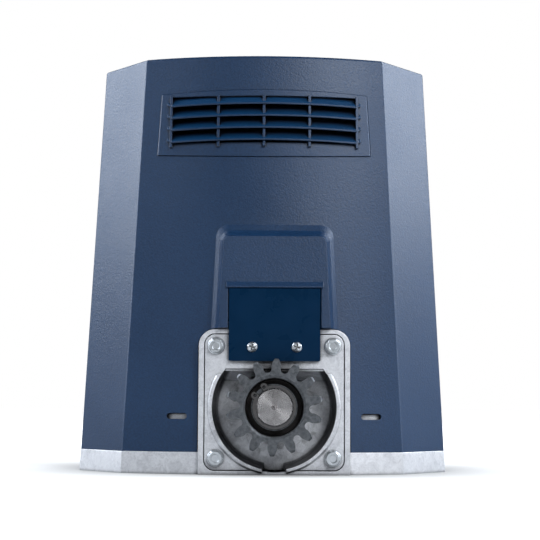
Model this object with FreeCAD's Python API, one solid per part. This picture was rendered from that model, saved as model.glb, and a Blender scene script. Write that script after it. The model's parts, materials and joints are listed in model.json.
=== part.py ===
import FreeCAD, Part
import math
import os

# Sliding gate motor with a rack pinion on its front face.
# Millimetres, +Z up, origin at the centre of the base's underside.
# -Y is the pinion side, +Y is the release lever side.

V = FreeCAD.Vector

# ---------------------------------------------------------------- driving dimensions

# Housing envelope
base_width = 259.0
top_width = 232.6
base_depth = 200.0
height = 290.0
front_lean = 15.0
chamfer_x = 33.0
chamfer_y = 38.0
bow_radius = 275.0
edge_radius = 2.0
cover_wall = 3.0
seam_z = 14.8
cover_gap = 0.4

# Cast base
floor_thickness = 5.0
rim_wall = 5.0
spigot_wall = 2.5
spigot_height = 8.0
mount_spacing_x = 150.0
mount_spacing_y = 110.0
mount_slot_width = 11.0
mount_slot_length = 25.0
levelling_inset = 22.0
levelling_setback = 31.0
levelling_radius = 4.0
levelling_top_z = floor_thickness + 14.0
levelling_clearance = 0.05

# Front frame of the base and gearbox flange
gear_x = 8.0
gear_z = 45.0
face_y = -base_depth / 2
flange_width = 93.4
flange_bottom_z = 3.2
flange_top_z = 93.8
flange_corner = 6.8
flange_thickness = 9.0
frame_wall = 3.6
frame_wall_top = 2.8
frame_gap = 0.7
frame_ledge = 8.0
frame_cover_gap = 0.8
bolt_spacing_x = 78.6
bolt_spacing_z = 75.0
flange_bolt_radius = 3.0
flange_bolt_head = 5.1
flange_bolt_height = 4.4
flange_bolt_washer = 5.7
flange_bolt_dish = 2.9

# Pinion pocket
pocket_radius = 41.7
pocket_depth = 25.0
pocket_draft = 1.8
pocket_top_z = 70.8
pocket_ceiling_drop = 8.0
pocket_brow = 1.4
collar_width = 3.1
collar_height = 1.6
collar_horn_z = 66.4
horn_length = 5.5
horn_height = 2.0
cup_wall = 3.0
cup_floor = 8.0
drain_width = 16.4

# Rack pinion
pinion_teeth = 14
pinion_module = 4.0
pinion_face = 18.0
pinion_proud = 22.0
pinion_turn = -2.5
pinion_hub_wall = 4.7
pinion_counterbore = 19.5
counterbore_depth = 4.0
hub_groove_depth = 12.0
hub_groove_radius = 15.3
shaft_radius = 12.5
running_clearance = 0.05
key_width = 8.0
key_depth = 3.2
key_length = 22.0
shaft_flat = 10.7
shaft_flat_length = 9.0
circlip_width = 1.2

# Worm drive
worm_module = 2.25
worm_reference = 22.5
wheel_teeth = 28
wheel_face = 18.0
wheel_y = face_y + 68.0
wheel_hub_radius = 20.0
gear_backlash = 0.35
worm_length = 46.0
worm_shaft_radius = 7.5

# Gearbox housing
housing_wall = 4.0
wheel_clearance = 1.4
worm_clearance = 1.5
front_bearing_radius = 26.0
front_bearing_width = 15.0
rear_bearing_radius = 21.0
rear_bearing_width = 12.0
rear_journal_radius = 10.0
bearing_wall = 5.0
motor_flange_z = 84.0
motor_flange_thickness = 8.0
housing_rear_y = wheel_y + 34.0
rear_cover_thickness = 5.0
rear_screw_radius = 2.2
rear_screw_head = 3.6
rear_screw_head_height = 3.5

# Dog clutch and release
clutch_radius = 18.0
clutch_length = 13.0
dog_height = 4.0
release_travel = 6.0
rod_radius = 4.0
rod_offset = 27.0
lever_width = 39.0
lever_length = 48.0
lever_thickness = 8.0
lever_hinge_inset = 3.0
lever_setback = 3.0
bracket_half_width = 25.5
bracket_top_z = 88.0
bracket_front_y = base_depth / 2 - 34.0
bracket_wall = 4.5
lock_radius = 7.0

# Motor
motor_radius = 48.0
stator_length = 70.0
bell_height = 16.0
cowl_height = 34.0
air_gap = 0.5
rotor_radius = 27.0
stator_wall = 9.0
bell_floor = 4.0
tie_head_radius = 4.2
tie_head_height = 3.0

# Limit sensor and its guard
guard_width = 61.6
guard_bottom_z = 75.9
guard_thickness = 3.0
guard_screw_spacing = 30.0
guard_screw_z = 85.3
guard_screw_head = 3.45

# Raised housing on the cover above the frame
bump_top_z = 170.0
bump_width_top = 81.0
bump_width_bottom = 86.5
bump_face_top_z = 161.0
bump_face_width = 70.0
bump_proud_top = 7.0
bump_proud_bottom = 10.5
bump_face_corner = 5.0
bump_foot_corner = 9.0
bump_root_depth = 25.0
bump_low_z = 60.0
lip_z = 125.4
lip_width = 66.0
lip_height = 4.2
lip_proud = 2.2
guard_top_z = lip_z - 0.4
bump_opening_gap = 0.7

# Vent
vent_drop = 27.1
vent_height = 43.0
vent_top_z = height - vent_drop
vent_bottom_z = vent_top_z - vent_height
vent_half_top = 72.0
vent_half_bottom = 74.6
vent_arch = 2.2
vent_proud = 0.9
vent_bevel = 0.7
vent_recess = 1.4
vent_fit = 0.15
blade_pitch = 8.55
blade_count = 4
blade_first_rise = 9.3
blade_first_z = vent_bottom_z + blade_first_rise
blade_proud = 4.0
blade_edge = 1.1
blade_reach = 9.0
blade_slope = 1.1
blade_droop = 9.0
blade_half = 69.6
blade_end_radius = 5.0
rib_width = 1.8
rib_proud = 3.0
rib_pitch = 31.7
rib_outer_x = 64.9

# Latch tabs and their slots
slot_half_spacing = 66.0
slot_z = 38.8
slot_length = 13.8
slot_height = 4.0
tab_wall = 3.0

# Fits and small parts
hub_gap = 0.3
fit_clearance = 0.02
lever_pin_radius = 2.2
pin_grip = 3.0
guard_screw_radius = 2.0
guard_screw_length = 8.0
wheel_rim_radius = 26.0
worm_bearing_radius = 16.0
worm_bearing_width = 9.0
guard_screw_places = [(gear_x - guard_screw_spacing / 2, guard_screw_z),
                      (gear_x + guard_screw_spacing / 2, guard_screw_z)]


# ---------------------------------------------------------------- small helpers

def box(x0, x1, y0, y1, z0, z1):
    return Part.makeBox(x1 - x0, y1 - y0, z1 - z0, V(x0, y0, z0))


def rod_y(radius, y0, y1, x=gear_x, z=gear_z):
    return Part.makeCylinder(radius, y1 - y0, V(x, y0, z), V(0, 1, 0))


def rod_z(radius, z0, z1, x, y):
    return Part.makeCylinder(radius, z1 - z0, V(x, y, z0), V(0, 0, 1))


def rod_x(radius, x0, x1, y, z):
    return Part.makeCylinder(radius, x1 - x0, V(x0, y, z), V(1, 0, 0))


def turned_y(profile, x=gear_x, z=gear_z):
    """Solid of revolution about the line along Y through (x, z); profile is (radius, y) points."""
    points = [V(x + r, y, z) for r, y in profile]
    face = Part.Face(Part.makePolygon(points + points[:1]))
    return face.revolve(V(x, 0, z), V(0, 1, 0), 360)


def turned_z(profile, x, y):
    """Solid of revolution about a vertical line through (x, y); profile is (radius, z) points."""
    points = [V(x + r, y, z) for r, z in profile]
    face = Part.Face(Part.makePolygon(points + points[:1]))
    return face.revolve(V(x, y, 0), V(0, 0, 1), 360)


def rounded_outline(corners, radii):
    """Closed wire through the corners, each rounded by its own radius; a radius of 0 stays sharp."""
    count = len(corners)
    joints = []
    for i, corner in enumerate(corners):
        to_last = (corners[i - 1] - corner).normalize()
        to_next = (corners[(i + 1) % count] - corner).normalize()
        half = to_last.getAngle(to_next) / 2
        if radii[i] <= 0:
            joints.append((corner, corner, corner))
            continue
        reach = radii[i] / math.tan(half)
        middle = (to_last + to_next).normalize()
        centre = corner + middle * (radii[i] / math.sin(half))
        joints.append((corner + to_last * reach, centre - middle * radii[i], corner + to_next * reach))
    edges = []
    for i, (start, mid, end) in enumerate(joints):
        if start != end:
            edges.append(Part.Arc(start, mid, end).toShape())
        following = joints[(i + 1) % count][0]
        if end.distanceToPoint(following) > 1e-6:
            edges.append(Part.LineSegment(end, following).toShape())
    return Part.Wire(edges)


def plate_y(x0, x1, z0, z1, radius, y0, y1):
    """Plate with rounded corners, facing along Y."""
    corners = [V(x0, y0, z0), V(x1, y0, z0), V(x1, y0, z1), V(x0, y0, z1)]
    return Part.Face(rounded_outline(corners, [radius] * 4)).extrude(V(0, y1 - y0, 0))


def plate_z(x0, x1, y0, y1, radius, z0, z1):
    """Plate with rounded corners, facing along Z."""
    corners = [V(x0, y0, z0), V(x1, y0, z0), V(x1, y1, z0), V(x0, y1, z0)]
    return Part.Face(rounded_outline(corners, [radius] * 4)).extrude(V(0, 0, z1 - z0))


def slot_prism(length, width, z0, z1, x, y):
    """Slot along X with round ends, cut along Z."""
    return plate_z(x - length / 2, x + length / 2, y - width / 2, y + width / 2, width / 2, z0, z1)


def fuse(shapes):
    first = shapes[0]
    return first.fuse(shapes[1:]).removeSplitter() if len(shapes) > 1 else first


def write(name, shape):
    solids = shape.Solids
    body = solids[0] if len(solids) == 1 else Part.makeCompound(solids)
    body.exportStep("parts/" + name + ".step")


# ---------------------------------------------------------------- housing envelope

def half_width(z):
    return base_width / 2 + (top_width - base_width) / 2 * z / height


def lean(z):
    return front_lean * z / height


def plan_outline(z, inset):
    """Eight-sided plan of the housing at height z: bowed front and rear, chamfered corners, flat sides."""
    side = half_width(z) - inset
    facet = half_width(z) - chamfer_x
    arc_y = -base_depth / 2 + lean(z) + bow_radius
    radius = bow_radius - inset
    run = math.hypot(chamfer_x, chamfer_y)
    along = V(chamfer_x / run, chamfer_y / run, 0)
    corner = V(facet, arc_y - math.sqrt(bow_radius ** 2 - facet ** 2), z)
    start = corner + V(-along.y, along.x, 0) * inset
    from_centre = start - V(0, arc_y, z)
    slope = from_centre.dot(along)
    front = start - along * (slope + math.sqrt(slope ** 2 - from_centre.dot(from_centre) + radius ** 2))
    flank = start + along * ((side - start.x) / along.x)
    apex = V(0, arc_y - radius, z)

    def flip(point, sx, sy):
        return V(point.x * sx, point.y * sy, point.z)

    edges = [
        Part.Arc(flip(front, -1, 1), apex, front).toShape(),
        Part.LineSegment(front, flank).toShape(),
        Part.LineSegment(flank, flip(flank, 1, -1)).toShape(),
        Part.LineSegment(flip(flank, 1, -1), flip(front, 1, -1)).toShape(),
        Part.Arc(flip(front, 1, -1), flip(apex, 1, -1), flip(front, -1, -1)).toShape(),
        Part.LineSegment(flip(front, -1, -1), flip(flank, -1, -1)).toShape(),
        Part.LineSegment(flip(flank, -1, -1), flip(flank, -1, 1)).toShape(),
        Part.LineSegment(flip(flank, -1, 1), flip(front, -1, 1)).toShape(),
    ]
    return Part.Wire(edges)


def envelope(z0, z1, inset):
    """Solid of the housing's outline between two heights, set in from the outside by inset."""
    return Part.makeLoft([plan_outline(z0, inset), plan_outline(z1, inset)], True, True)


def skin(z0, z1, outside, inside):
    """Layer between two insets of the housing's outline."""
    return envelope(z0, z1, outside).cut(envelope(z0, z1, inside))


def front_y(x, z, inset=0.0):
    """Y of the bowed front at (x, z), set in by inset."""
    arc_y = -base_depth / 2 + lean(z) + bow_radius
    return arc_y - math.sqrt((bow_radius - inset) ** 2 - x ** 2)


# ---------------------------------------------------------------- cast base

flange_x0 = gear_x - flange_width / 2
flange_x1 = gear_x + flange_width / 2
frame_x0 = flange_x0 - frame_gap - frame_wall
frame_x1 = flange_x1 + frame_gap + frame_wall
frame_top_z = flange_top_z + frame_gap + frame_wall_top
frame_corner = flange_corner + frame_gap + frame_wall
ledge_y = face_y + flange_thickness
frame_back_y = ledge_y + frame_ledge
cup_radius = pocket_radius + cup_wall - pocket_draft
bolt_z = (flange_bottom_z + flange_top_z) / 2
bolt_places = [
    (gear_x + sx * bolt_spacing_x / 2, bolt_z + sz * bolt_spacing_z / 2)
    for sx in (-1, 1) for sz in (-1, 1)
]
centre_distance = (worm_module * wheel_teeth + worm_reference) / 2
worm_x = gear_x - centre_distance
levelling_places = [
    (sx * (base_width / 2 - levelling_inset - chamfer_x / 2), sy * (base_depth / 2 - levelling_setback))
    for sx in (-1, 1) for sy in (-1, 1)
]
rod_z_place = gear_z + rod_offset
hinge_z = rod_z_place + release_travel / 2
lever_y1 = base_depth / 2 - lean(hinge_z) - lever_setback + 1.6
lever_y0 = lever_y1 - lever_thickness
lever_hinge_y = lever_y0 + lever_hinge_inset
bracket_hollow = bracket_half_width - bracket_wall
lock_z = hinge_z - 32.0
tongue_inset = 6.0
tongue_reach = 5.0
tongue_thickness = 3.0
tongue_y = lever_y0 - tongue_inset
catch_thickness = 2.0
cam_square = 2.5
cam_half_width = 4.5
gland_x = -70.0
gland_y = 30.0
gland_radius = 12.0
gland_clearance = 0.05


def base_casting():
    tray = envelope(0, seam_z, 0).cut(envelope(floor_thickness, seam_z, rim_wall))
    spigot_inset = cover_wall + cover_gap
    spigot = skin(floor_thickness, seam_z + spigot_height, spigot_inset, spigot_inset + spigot_wall)
    frame = plate_y(frame_x0, frame_x1, 0, frame_top_z, frame_corner, face_y, frame_back_y)
    foot = box(frame_x0, frame_x1, face_y, frame_back_y, 0, frame_corner + 1)
    release = plate_y(gear_x - bracket_half_width, gear_x + bracket_half_width, floor_thickness - 1,
                      bracket_top_z, 6, bracket_front_y, base_depth / 2 - lean(bracket_top_z) - 1)
    tabs = []
    for side in (-1, 1):
        x = gear_x + side * slot_half_spacing
        block = box(x - slot_length, x + slot_length, -base_depth / 2, -base_depth / 4,
                    floor_thickness, slot_z + slot_height / 2 - 0.4)
        reach = skin(floor_thickness, slot_z + slot_height, spigot_inset, spigot_inset + tab_wall)
        tabs.append(block.common(reach))
    pads = [rod_z(levelling_radius + 5, 0, floor_thickness + 6, x, y) for x, y in levelling_places]
    body = fuse([tray, spigot, frame, foot, release] + tabs + pads)

    # Front frame: pocket for the flange, a round hole for the cup and an open drain below it
    body = body.cut(plate_y(flange_x0 - frame_gap, flange_x1 + frame_gap, flange_bottom_z - frame_gap,
                            flange_top_z + frame_gap, flange_corner + frame_gap, face_y - 5, ledge_y))
    body = body.cut(rod_y(cup_radius + frame_gap, face_y - 5, frame_back_y + 60))
    drain = drain_width / 2 + collar_width
    body = body.cut(box(gear_x - drain, gear_x + drain, ledge_y, cup_back_y + frame_gap, -1, gear_z))
    for x, z in bolt_places:
        body = body.cut(rod_y(flange_bolt_radius + running_clearance, face_y, frame_back_y + 1, x, z))

    # Release recess, open to the rear, with the rod's hole and the hinge holes
    hollow = bracket_hollow
    body = body.cut(box(gear_x - hollow, gear_x + hollow, bracket_front_y + bracket_wall, base_depth / 2 + 5,
                        seam_z + 3, bracket_top_z - bracket_wall))
    body = body.cut(rod_y(rod_radius + 0.3, bracket_front_y - 1, bracket_front_y + bracket_wall + 1,
                          gear_x, rod_z_place))
    body = body.cut(rod_x(lever_pin_radius, gear_x - hollow - pin_grip, gear_x + hollow + pin_grip,
                          lever_hinge_y, hinge_z))

    catch_y = tongue_y + tongue_thickness + 0.4
    body = body.fuse(box(gear_x + lock_radius + 2, gear_x + hollow + 1, catch_y, catch_y + catch_thickness,
                         lock_z - 5, lock_z + 5))

    # Slotted mounting holes, levelling threads and the cable entry
    for sx in (-1, 1):
        for sy in (-1, 1):
            slot = slot_prism(mount_slot_length, mount_slot_width, -1, floor_thickness + 10,
                              sx * mount_spacing_x / 2, sy * mount_spacing_y / 2)
            body = body.cut(slot)
    for x, y in levelling_places:
        body = body.cut(rod_z(levelling_radius + levelling_clearance, -1, floor_thickness + 10, x, y))
    body = body.cut(rod_z(gland_radius + gland_clearance, -1, floor_thickness + 1, gland_x, gland_y))
    return body.removeSplitter()


# ---------------------------------------------------------------- gearbox shells

pocket_floor_y = face_y + pocket_depth
cup_back_y = pocket_floor_y + cup_floor
seal_radius = 20.0
seal_width = 6.0
boss_radius = front_bearing_radius + bearing_wall
boss_back_y = cup_back_y + front_bearing_width
wheel_reference = worm_module * wheel_teeth
wheel_tip_radius = wheel_reference / 2 + worm_module
cavity_radius = wheel_tip_radius + wheel_clearance
drum_radius = cavity_radius + housing_wall
worm_tip_radius = worm_reference / 2 + worm_module
worm_cavity = worm_tip_radius + worm_clearance
tube_radius = worm_cavity + housing_wall
worm_z0 = gear_z - worm_length / 2
worm_z1 = gear_z + worm_length / 2
tube_bottom_z = floor_thickness + 2.0
rear_cover_back_y = housing_rear_y + rear_cover_thickness + rear_bearing_width


def gearbox_flange():
    plate = plate_y(flange_x0, flange_x1, flange_bottom_z, flange_top_z, flange_corner, face_y, ledge_y)
    collar = turned_y([
        (pocket_radius - 1, face_y), (pocket_radius - 1, face_y - collar_height),
        (pocket_radius + collar_width - 1, face_y - collar_height),
        (pocket_radius + collar_width, face_y - collar_height + 1), (pocket_radius + collar_width, face_y),
    ])
    collar = collar.cut(box(gear_x - 60, gear_x + 60, face_y - 5, ledge_y, collar_horn_z, gear_z + 60))
    spread = math.sqrt((pocket_radius + collar_width - 0.5) ** 2 - (collar_horn_z - gear_z) ** 2)
    horns = []
    for side in (-1, 1):
        tip = gear_x + side * (spread - horn_length)
        end = gear_x + side * spread
        horns.append(plate_y(min(tip, end), max(tip, end), collar_horn_z - horn_height / 2,
                             collar_horn_z + horn_height / 2, horn_height / 2 - 0.05,
                             face_y - collar_height, face_y + 1))
    cup = rod_y(cup_radius, face_y + 1, cup_back_y)
    cup = cup.cut(box(gear_x - 60, gear_x + 60, ledge_y, cup_back_y + 1, pocket_top_z + 0.5, gear_z + 60))
    boss = rod_y(boss_radius, cup_back_y - 1, boss_back_y)
    body = fuse([plate, collar, cup, boss] + horns)

    # Dished pocket with draft, flat on top, and the shaft's seats behind it
    dish = turned_y([
        (0, face_y - 10), (pocket_radius + 10 * pocket_draft / pocket_depth, face_y - 10),
        (pocket_radius - pocket_draft + 1.5 * pocket_draft / pocket_depth, pocket_floor_y - 1.5),
        (pocket_radius - pocket_draft - 1.5, pocket_floor_y), (0, pocket_floor_y),
    ])
    ceiling = Part.Face(Part.makePolygon([
        V(gear_x - 60, face_y - 20, pocket_top_z + 60), V(gear_x - 60, face_y - 20, pocket_top_z),
        V(gear_x - 60, face_y + pocket_brow, pocket_top_z),
        V(gear_x - 60, face_y + pocket_brow, pocket_top_z - pocket_brow),
        V(gear_x - 60, pocket_floor_y + 1, pocket_top_z - pocket_ceiling_drop),
        V(gear_x - 60, pocket_floor_y + 1, pocket_top_z + 60), V(gear_x - 60, face_y - 20, pocket_top_z + 60),
    ])).extrude(V(120, 0, 0))
    dish = dish.cut(ceiling)
    body = body.cut(dish)
    drain = Part.makeLoft([
        Part.makePolygon([V(gear_x - w, y, flange_bottom_z - 5), V(gear_x + w, y, flange_bottom_z - 5),
                          V(gear_x + w, y, gear_z - 30), V(gear_x - w, y, gear_z - 30),
                          V(gear_x - w, y, flange_bottom_z - 5)])
        for w, y in ((drain_width / 2 + 0.3, face_y - 5), (drain_width / 2 - 1.4, pocket_floor_y))
    ], True, True)
    body = body.cut(drain)
    tongue = box(gear_x - drain_width / 2, gear_x + drain_width / 2, pocket_floor_y, cup_back_y,
                 flange_bottom_z, gear_z - 35)
    body = body.fuse(tongue)
    body = body.cut(rod_y(shaft_radius + 1, face_y, boss_back_y + 1))
    body = body.cut(rod_y(seal_radius, pocket_floor_y - 1, pocket_floor_y + seal_width))
    body = body.cut(rod_y(front_bearing_radius, cup_back_y, boss_back_y + 1))
    for x, z in bolt_places:
        body = body.cut(rod_y(flange_bolt_radius + 0.4, face_y - 1, ledge_y + 1, x, z))
    for x, z in guard_screw_places:
        body = body.cut(rod_y(guard_screw_radius, face_y - 1, face_y + guard_screw_length, x, z))
    return body.removeSplitter()


def gearbox_housing():
    drum = rod_y(drum_radius, cup_back_y, housing_rear_y)
    tube = rod_z(tube_radius, tube_bottom_z, motor_flange_z + 1, worm_x, wheel_y)
    flange = rod_z(motor_radius, motor_flange_z, motor_flange_z + motor_flange_thickness, worm_x, wheel_y)
    web = box(worm_x, gear_x, wheel_y - tube_radius / 2, wheel_y + tube_radius / 2, tube_bottom_z,
              gear_z + 20)
    foot = box(gear_x - 26, gear_x + 26, wheel_y - 22, wheel_y + 22, floor_thickness, gear_z - 20)
    tube_foot = rod_z(tube_radius - 2, floor_thickness, tube_bottom_z + 1, worm_x, wheel_y)
    ribs = []
    for turn in range(4):
        rib = box(worm_x, worm_x + motor_radius - 4, wheel_y - 2, wheel_y + 2, motor_flange_z - 12,
                  motor_flange_z + 1)
        rib.rotate(V(worm_x, wheel_y, 0), V(0, 0, 1), 45 + 90 * turn)
        ribs.append(rib)
    body = fuse([drum, tube, flange, web, foot, tube_foot] + ribs)
    body = body.cut(rod_y(cavity_radius, boss_back_y + 2, housing_rear_y + 1))
    body = body.cut(rod_y(boss_radius + 0.1, cup_back_y - 1, boss_back_y + 3))
    body = body.cut(rod_z(worm_cavity, worm_z0 - 1, worm_z1 + 1, worm_x, wheel_y))
    body = body.cut(rod_z(worm_bearing_radius, worm_z0 - 1 - worm_bearing_width, worm_z0, worm_x, wheel_y))
    body = body.cut(rod_z(worm_shaft_radius + 1, worm_z1, motor_flange_z + 20, worm_x, wheel_y))
    body = body.cut(rod_z(worm_bearing_radius, motor_flange_z + motor_flange_thickness - worm_bearing_width,
                          motor_flange_z + 20, worm_x, wheel_y))
    return body.removeSplitter()


def gearbox_rear_cover():
    lid = rod_y(drum_radius, housing_rear_y, housing_rear_y + rear_cover_thickness)
    hub = rod_y(rear_bearing_radius + bearing_wall, housing_rear_y + 1, rear_cover_back_y)
    cap = rod_y(rear_bearing_radius + bearing_wall, rear_cover_back_y - 1, rear_cover_back_y + 3)
    guide = rod_y(rod_radius + 4, housing_rear_y + 1, rear_cover_back_y + 3, gear_x, rod_z_place)
    body = fuse([lid, hub, cap, guide])
    body = body.cut(rod_y(rear_bearing_radius, housing_rear_y - 1, rear_cover_back_y))
    body = body.cut(rod_y(rod_radius + running_clearance, housing_rear_y - 1, rear_cover_back_y + 4,
                          gear_x, rod_z_place))
    for x, z in rear_screw_places:
        body = body.cut(rod_y(rear_screw_radius, housing_rear_y - 1, rear_cover_back_y, x, z))
    return body.removeSplitter()


rear_screw_places = [
    (gear_x + (cavity_radius + housing_wall / 2) * math.cos(math.radians(a)),
     gear_z + (cavity_radius + housing_wall / 2) * math.sin(math.radians(a)))
    for a in (0, 60, 120, 180, 240, 300)
]


def bearing(outer, bore, y0, y1, x=gear_x, z=gear_z):
    """Shielded bearing along Y as its outer ring, with shields, and its inner ring."""
    wall = (outer - bore) * 0.28
    shield = 1.0
    split = bore + wall
    outer_ring = turned_y([
        (outer, y0), (outer, y1), (split + 0.3, y1), (split + 0.3, y1 - shield), (outer - wall, y1 - shield),
        (outer - wall, y0 + shield), (split + 0.3, y0 + shield), (split + 0.3, y0),
    ], x, z)
    inner_ring = turned_y([(bore, y0), (bore, y1), (split, y1), (split, y0)], x, z)
    return outer_ring, inner_ring


def bearing_z(outer, bore, z0, z1):
    """The same bearing on the worm's vertical axis."""
    wall = (outer - bore) * 0.28
    shield = 0.8
    split = bore + wall
    outer_ring = turned_z([
        (outer, z0), (outer, z1), (split + 0.3, z1), (split + 0.3, z1 - shield), (outer - wall, z1 - shield),
        (outer - wall, z0 + shield), (split + 0.3, z0 + shield), (split + 0.3, z0),
    ], worm_x, wheel_y)
    inner_ring = turned_z([(bore, z0), (bore, z1), (split, z1), (split, z0)], worm_x, wheel_y)
    return outer_ring, inner_ring


def oil_seal():
    y0 = pocket_floor_y
    y1 = pocket_floor_y + seal_width
    lip = shaft_radius + running_clearance
    return turned_y([
        (seal_radius, y0), (seal_radius, y1), (seal_radius - 1.5, y1), (seal_radius - 1.5, y0 + 1.5),
        (lip + 2, y0 + 1.5), (lip + 2, y1 - 1), (lip, y1 - 2), (lip, y0 + 0.8), (lip + 1.5, y0),
    ])


def hex_flange_bolts():
    """Hexagon bolts with a pressed washer and a shallow dish in the head."""
    top = face_y - flange_bolt_height
    bolts = []
    for x, z in bolt_places:
        angles = [math.radians(60 * k) for k in range(6)]
        corners = [
            V(x + flange_bolt_head * math.cos(a), top, z + flange_bolt_head * math.sin(a)) for a in angles
        ]
        hexagon = Part.Face(Part.makePolygon(corners + corners[:1])).extrude(V(0, flange_bolt_height, 0))
        rounding = turned_y([
            (0, top + 0.5), (flange_bolt_dish - 0.6, top + 0.5), (flange_bolt_dish, top),
            (flange_bolt_head - 0.8, top), (flange_bolt_head, top + 0.7), (flange_bolt_head, face_y),
            (0, face_y),
        ], x, z)
        washer = turned_y([
            (0, face_y - 1.2), (flange_bolt_washer - 0.5, face_y - 1.2), (flange_bolt_washer, face_y - 0.8),
            (flange_bolt_washer, face_y), (0, face_y),
        ], x, z)
        shank = rod_y(flange_bolt_radius, face_y - 1, frame_back_y - 0.5, x, z)
        bolts.append(fuse([hexagon.common(rounding), washer, shank]))
    return Part.makeCompound(bolts)


def rear_cover_screws():
    screws = []
    seat = housing_rear_y + rear_cover_thickness
    for x, z in rear_screw_places:
        head = rod_y(rear_screw_head, seat, seat + rear_screw_head_height, x, z)
        socket = rod_y(rear_screw_head / 2, seat + 1.5, seat + rear_screw_head_height + 1, x, z)
        shank = rod_y(rear_screw_radius, housing_rear_y, seat + 1, x, z)
        screws.append(fuse([head, shank]).cut(socket))
    return Part.makeCompound(screws)


# ---------------------------------------------------------------- output shaft and pinion

pinion_front_y = face_y - pinion_proud
pinion_back_y = pinion_front_y + pinion_face
shaft_front_y = pinion_front_y + 1.5
shaft_back_y = rear_cover_back_y - 0.5
circlip_y = pinion_front_y + counterbore_depth - circlip_width
key_front_y = pinion_front_y + hub_groove_depth + 2.0
groove_radius = shaft_radius - 0.75
wheel_front_y = wheel_y - wheel_face / 2
wheel_back_y = wheel_y + wheel_face / 2
dog_y = wheel_back_y + 1.0
clutch_front_y = dog_y + dog_height + 0.4
clutch_back_y = clutch_front_y + clutch_length
shoulder_radius = shaft_radius + 4.0
front_bearing_bore = shaft_radius
rear_bearing_bore = rear_journal_radius


def involute(base, radius):
    """Polar angle of an involute at a radius, measured from its start on the base circle."""
    ratio = max(radius / base, 1.0)
    roll = math.sqrt(ratio ** 2 - 1)
    return roll - math.atan(roll)


def gear_outline(teeth, module, thinning, place, addendum=1.0, dedendum=1.25):
    """Closed wire of spur teeth; place(radius, angle) gives the point in space."""
    pitch = teeth * module / 2
    base = pitch * math.cos(math.radians(20))
    tip = pitch + addendum * module
    root = pitch - dedendum * module
    half = math.pi / (2 * teeth) - thinning / (2 * pitch) + involute(base, pitch)
    low = max(root, base)
    step = 2 * math.pi / teeth
    edges = []
    for tooth in range(teeth):
        centre = math.pi / 2 + tooth * step
        middle = (low + tip) / 2
        foot = half - involute(base, low)
        waist = half - involute(base, middle)
        crest = half - involute(base, tip)
        right_foot = place(low, centre - foot)
        right_tip = place(tip, centre - crest)
        left_tip = place(tip, centre + crest)
        left_foot = place(low, centre + foot)
        next_foot = place(low, centre + step - foot)
        edges.append(Part.Arc(right_foot, place(middle, centre - waist), right_tip).toShape())
        edges.append(Part.LineSegment(right_tip, left_tip).toShape())
        edges.append(Part.Arc(left_tip, place(middle, centre + waist), left_foot).toShape())
        edges.append(Part.Arc(left_foot, place(root, centre + step / 2), next_foot).toShape())
    return Part.Wire(edges)


def drive_pinion():
    turn = math.radians(pinion_turn)

    def place(radius, angle):
        return V(gear_x + radius * math.cos(angle + turn), pinion_front_y,
                 gear_z + radius * math.sin(angle + turn))

    blank = Part.Face(gear_outline(pinion_teeth, pinion_module, 0.2, place)).extrude(V(0, pinion_face, 0))
    tip = pinion_teeth * pinion_module / 2 + pinion_module
    hub = shaft_radius + pinion_hub_wall
    trimmed = turned_y([
        (0, pinion_front_y), (tip - 1.2, pinion_front_y), (tip + 0.1, pinion_front_y + 1.2),
        (tip + 0.1, pinion_back_y - 1.2), (tip - 1.2, pinion_back_y), (0, pinion_back_y),
    ])
    spacer = rod_y(hub, pinion_back_y - 1, pocket_floor_y - 0.5 - hub_gap)
    body = blank.common(trimmed).fuse(spacer)
    body = body.cut(turned_y([
        (0, pinion_front_y - 1), (pinion_counterbore + 2.5, pinion_front_y - 1),
        (pinion_counterbore + 1.5, pinion_front_y), (pinion_counterbore, pinion_front_y + 1.0),
        (pinion_counterbore, pinion_front_y + counterbore_depth), (0, pinion_front_y + counterbore_depth),
    ]))
    groove_y = pinion_front_y + hub_groove_depth
    body = body.cut(turned_y([
        (hub_groove_radius, pinion_front_y), (pinion_counterbore, pinion_front_y),
        (pinion_counterbore - 1, groove_y), (hub_groove_radius, groove_y),
    ]))
    body = body.cut(rod_y(shaft_radius + fit_clearance, pinion_front_y - 2, pocket_floor_y + 2))
    keyway = box(gear_x - key_width / 2 - fit_clearance, gear_x + key_width / 2 + fit_clearance,
                 key_front_y - fit_clearance, pocket_floor_y + 2,
                 gear_z - shaft_radius - key_depth - fit_clearance, gear_z)
    return body.cut(keyway).removeSplitter()


def output_shaft():
    y0 = shaft_front_y
    groove_end_y = circlip_y + circlip_width + 0.1
    body = turned_y([
        (0, y0), (shaft_radius - 0.6, y0), (shaft_radius, y0 + 0.6),
        (shaft_radius, circlip_y), (groove_radius, circlip_y), (groove_radius, groove_end_y),
        (shaft_radius, groove_end_y), (shaft_radius, boss_back_y),
        (shoulder_radius, boss_back_y), (shoulder_radius, wheel_front_y - 0.2),
        (shaft_radius, wheel_front_y - 0.2), (shaft_radius, housing_rear_y),
        (rear_journal_radius, housing_rear_y), (rear_journal_radius, shaft_back_y), (0, shaft_back_y),
    ])
    keyseat = box(gear_x - key_width / 2, gear_x + key_width / 2, key_front_y, key_front_y + key_length,
                  gear_z - shaft_radius - 1, gear_z - shaft_radius + key_depth)
    centre = turned_y([(0, y0 - 1), (2.4, y0 - 1), (1.2, y0 + 1.5), (0, y0 + 2.5)])
    flat = box(gear_x - shaft_radius - 1, gear_x - shaft_flat, y0 - 1, y0 + shaft_flat_length,
               gear_z - shaft_radius, gear_z + shaft_radius)
    body = body.cut(keyseat).cut(centre).cut(flat)
    for side in (-1, 1):
        body = body.cut(clutch_key_block(side))
    return body.removeSplitter()


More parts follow.
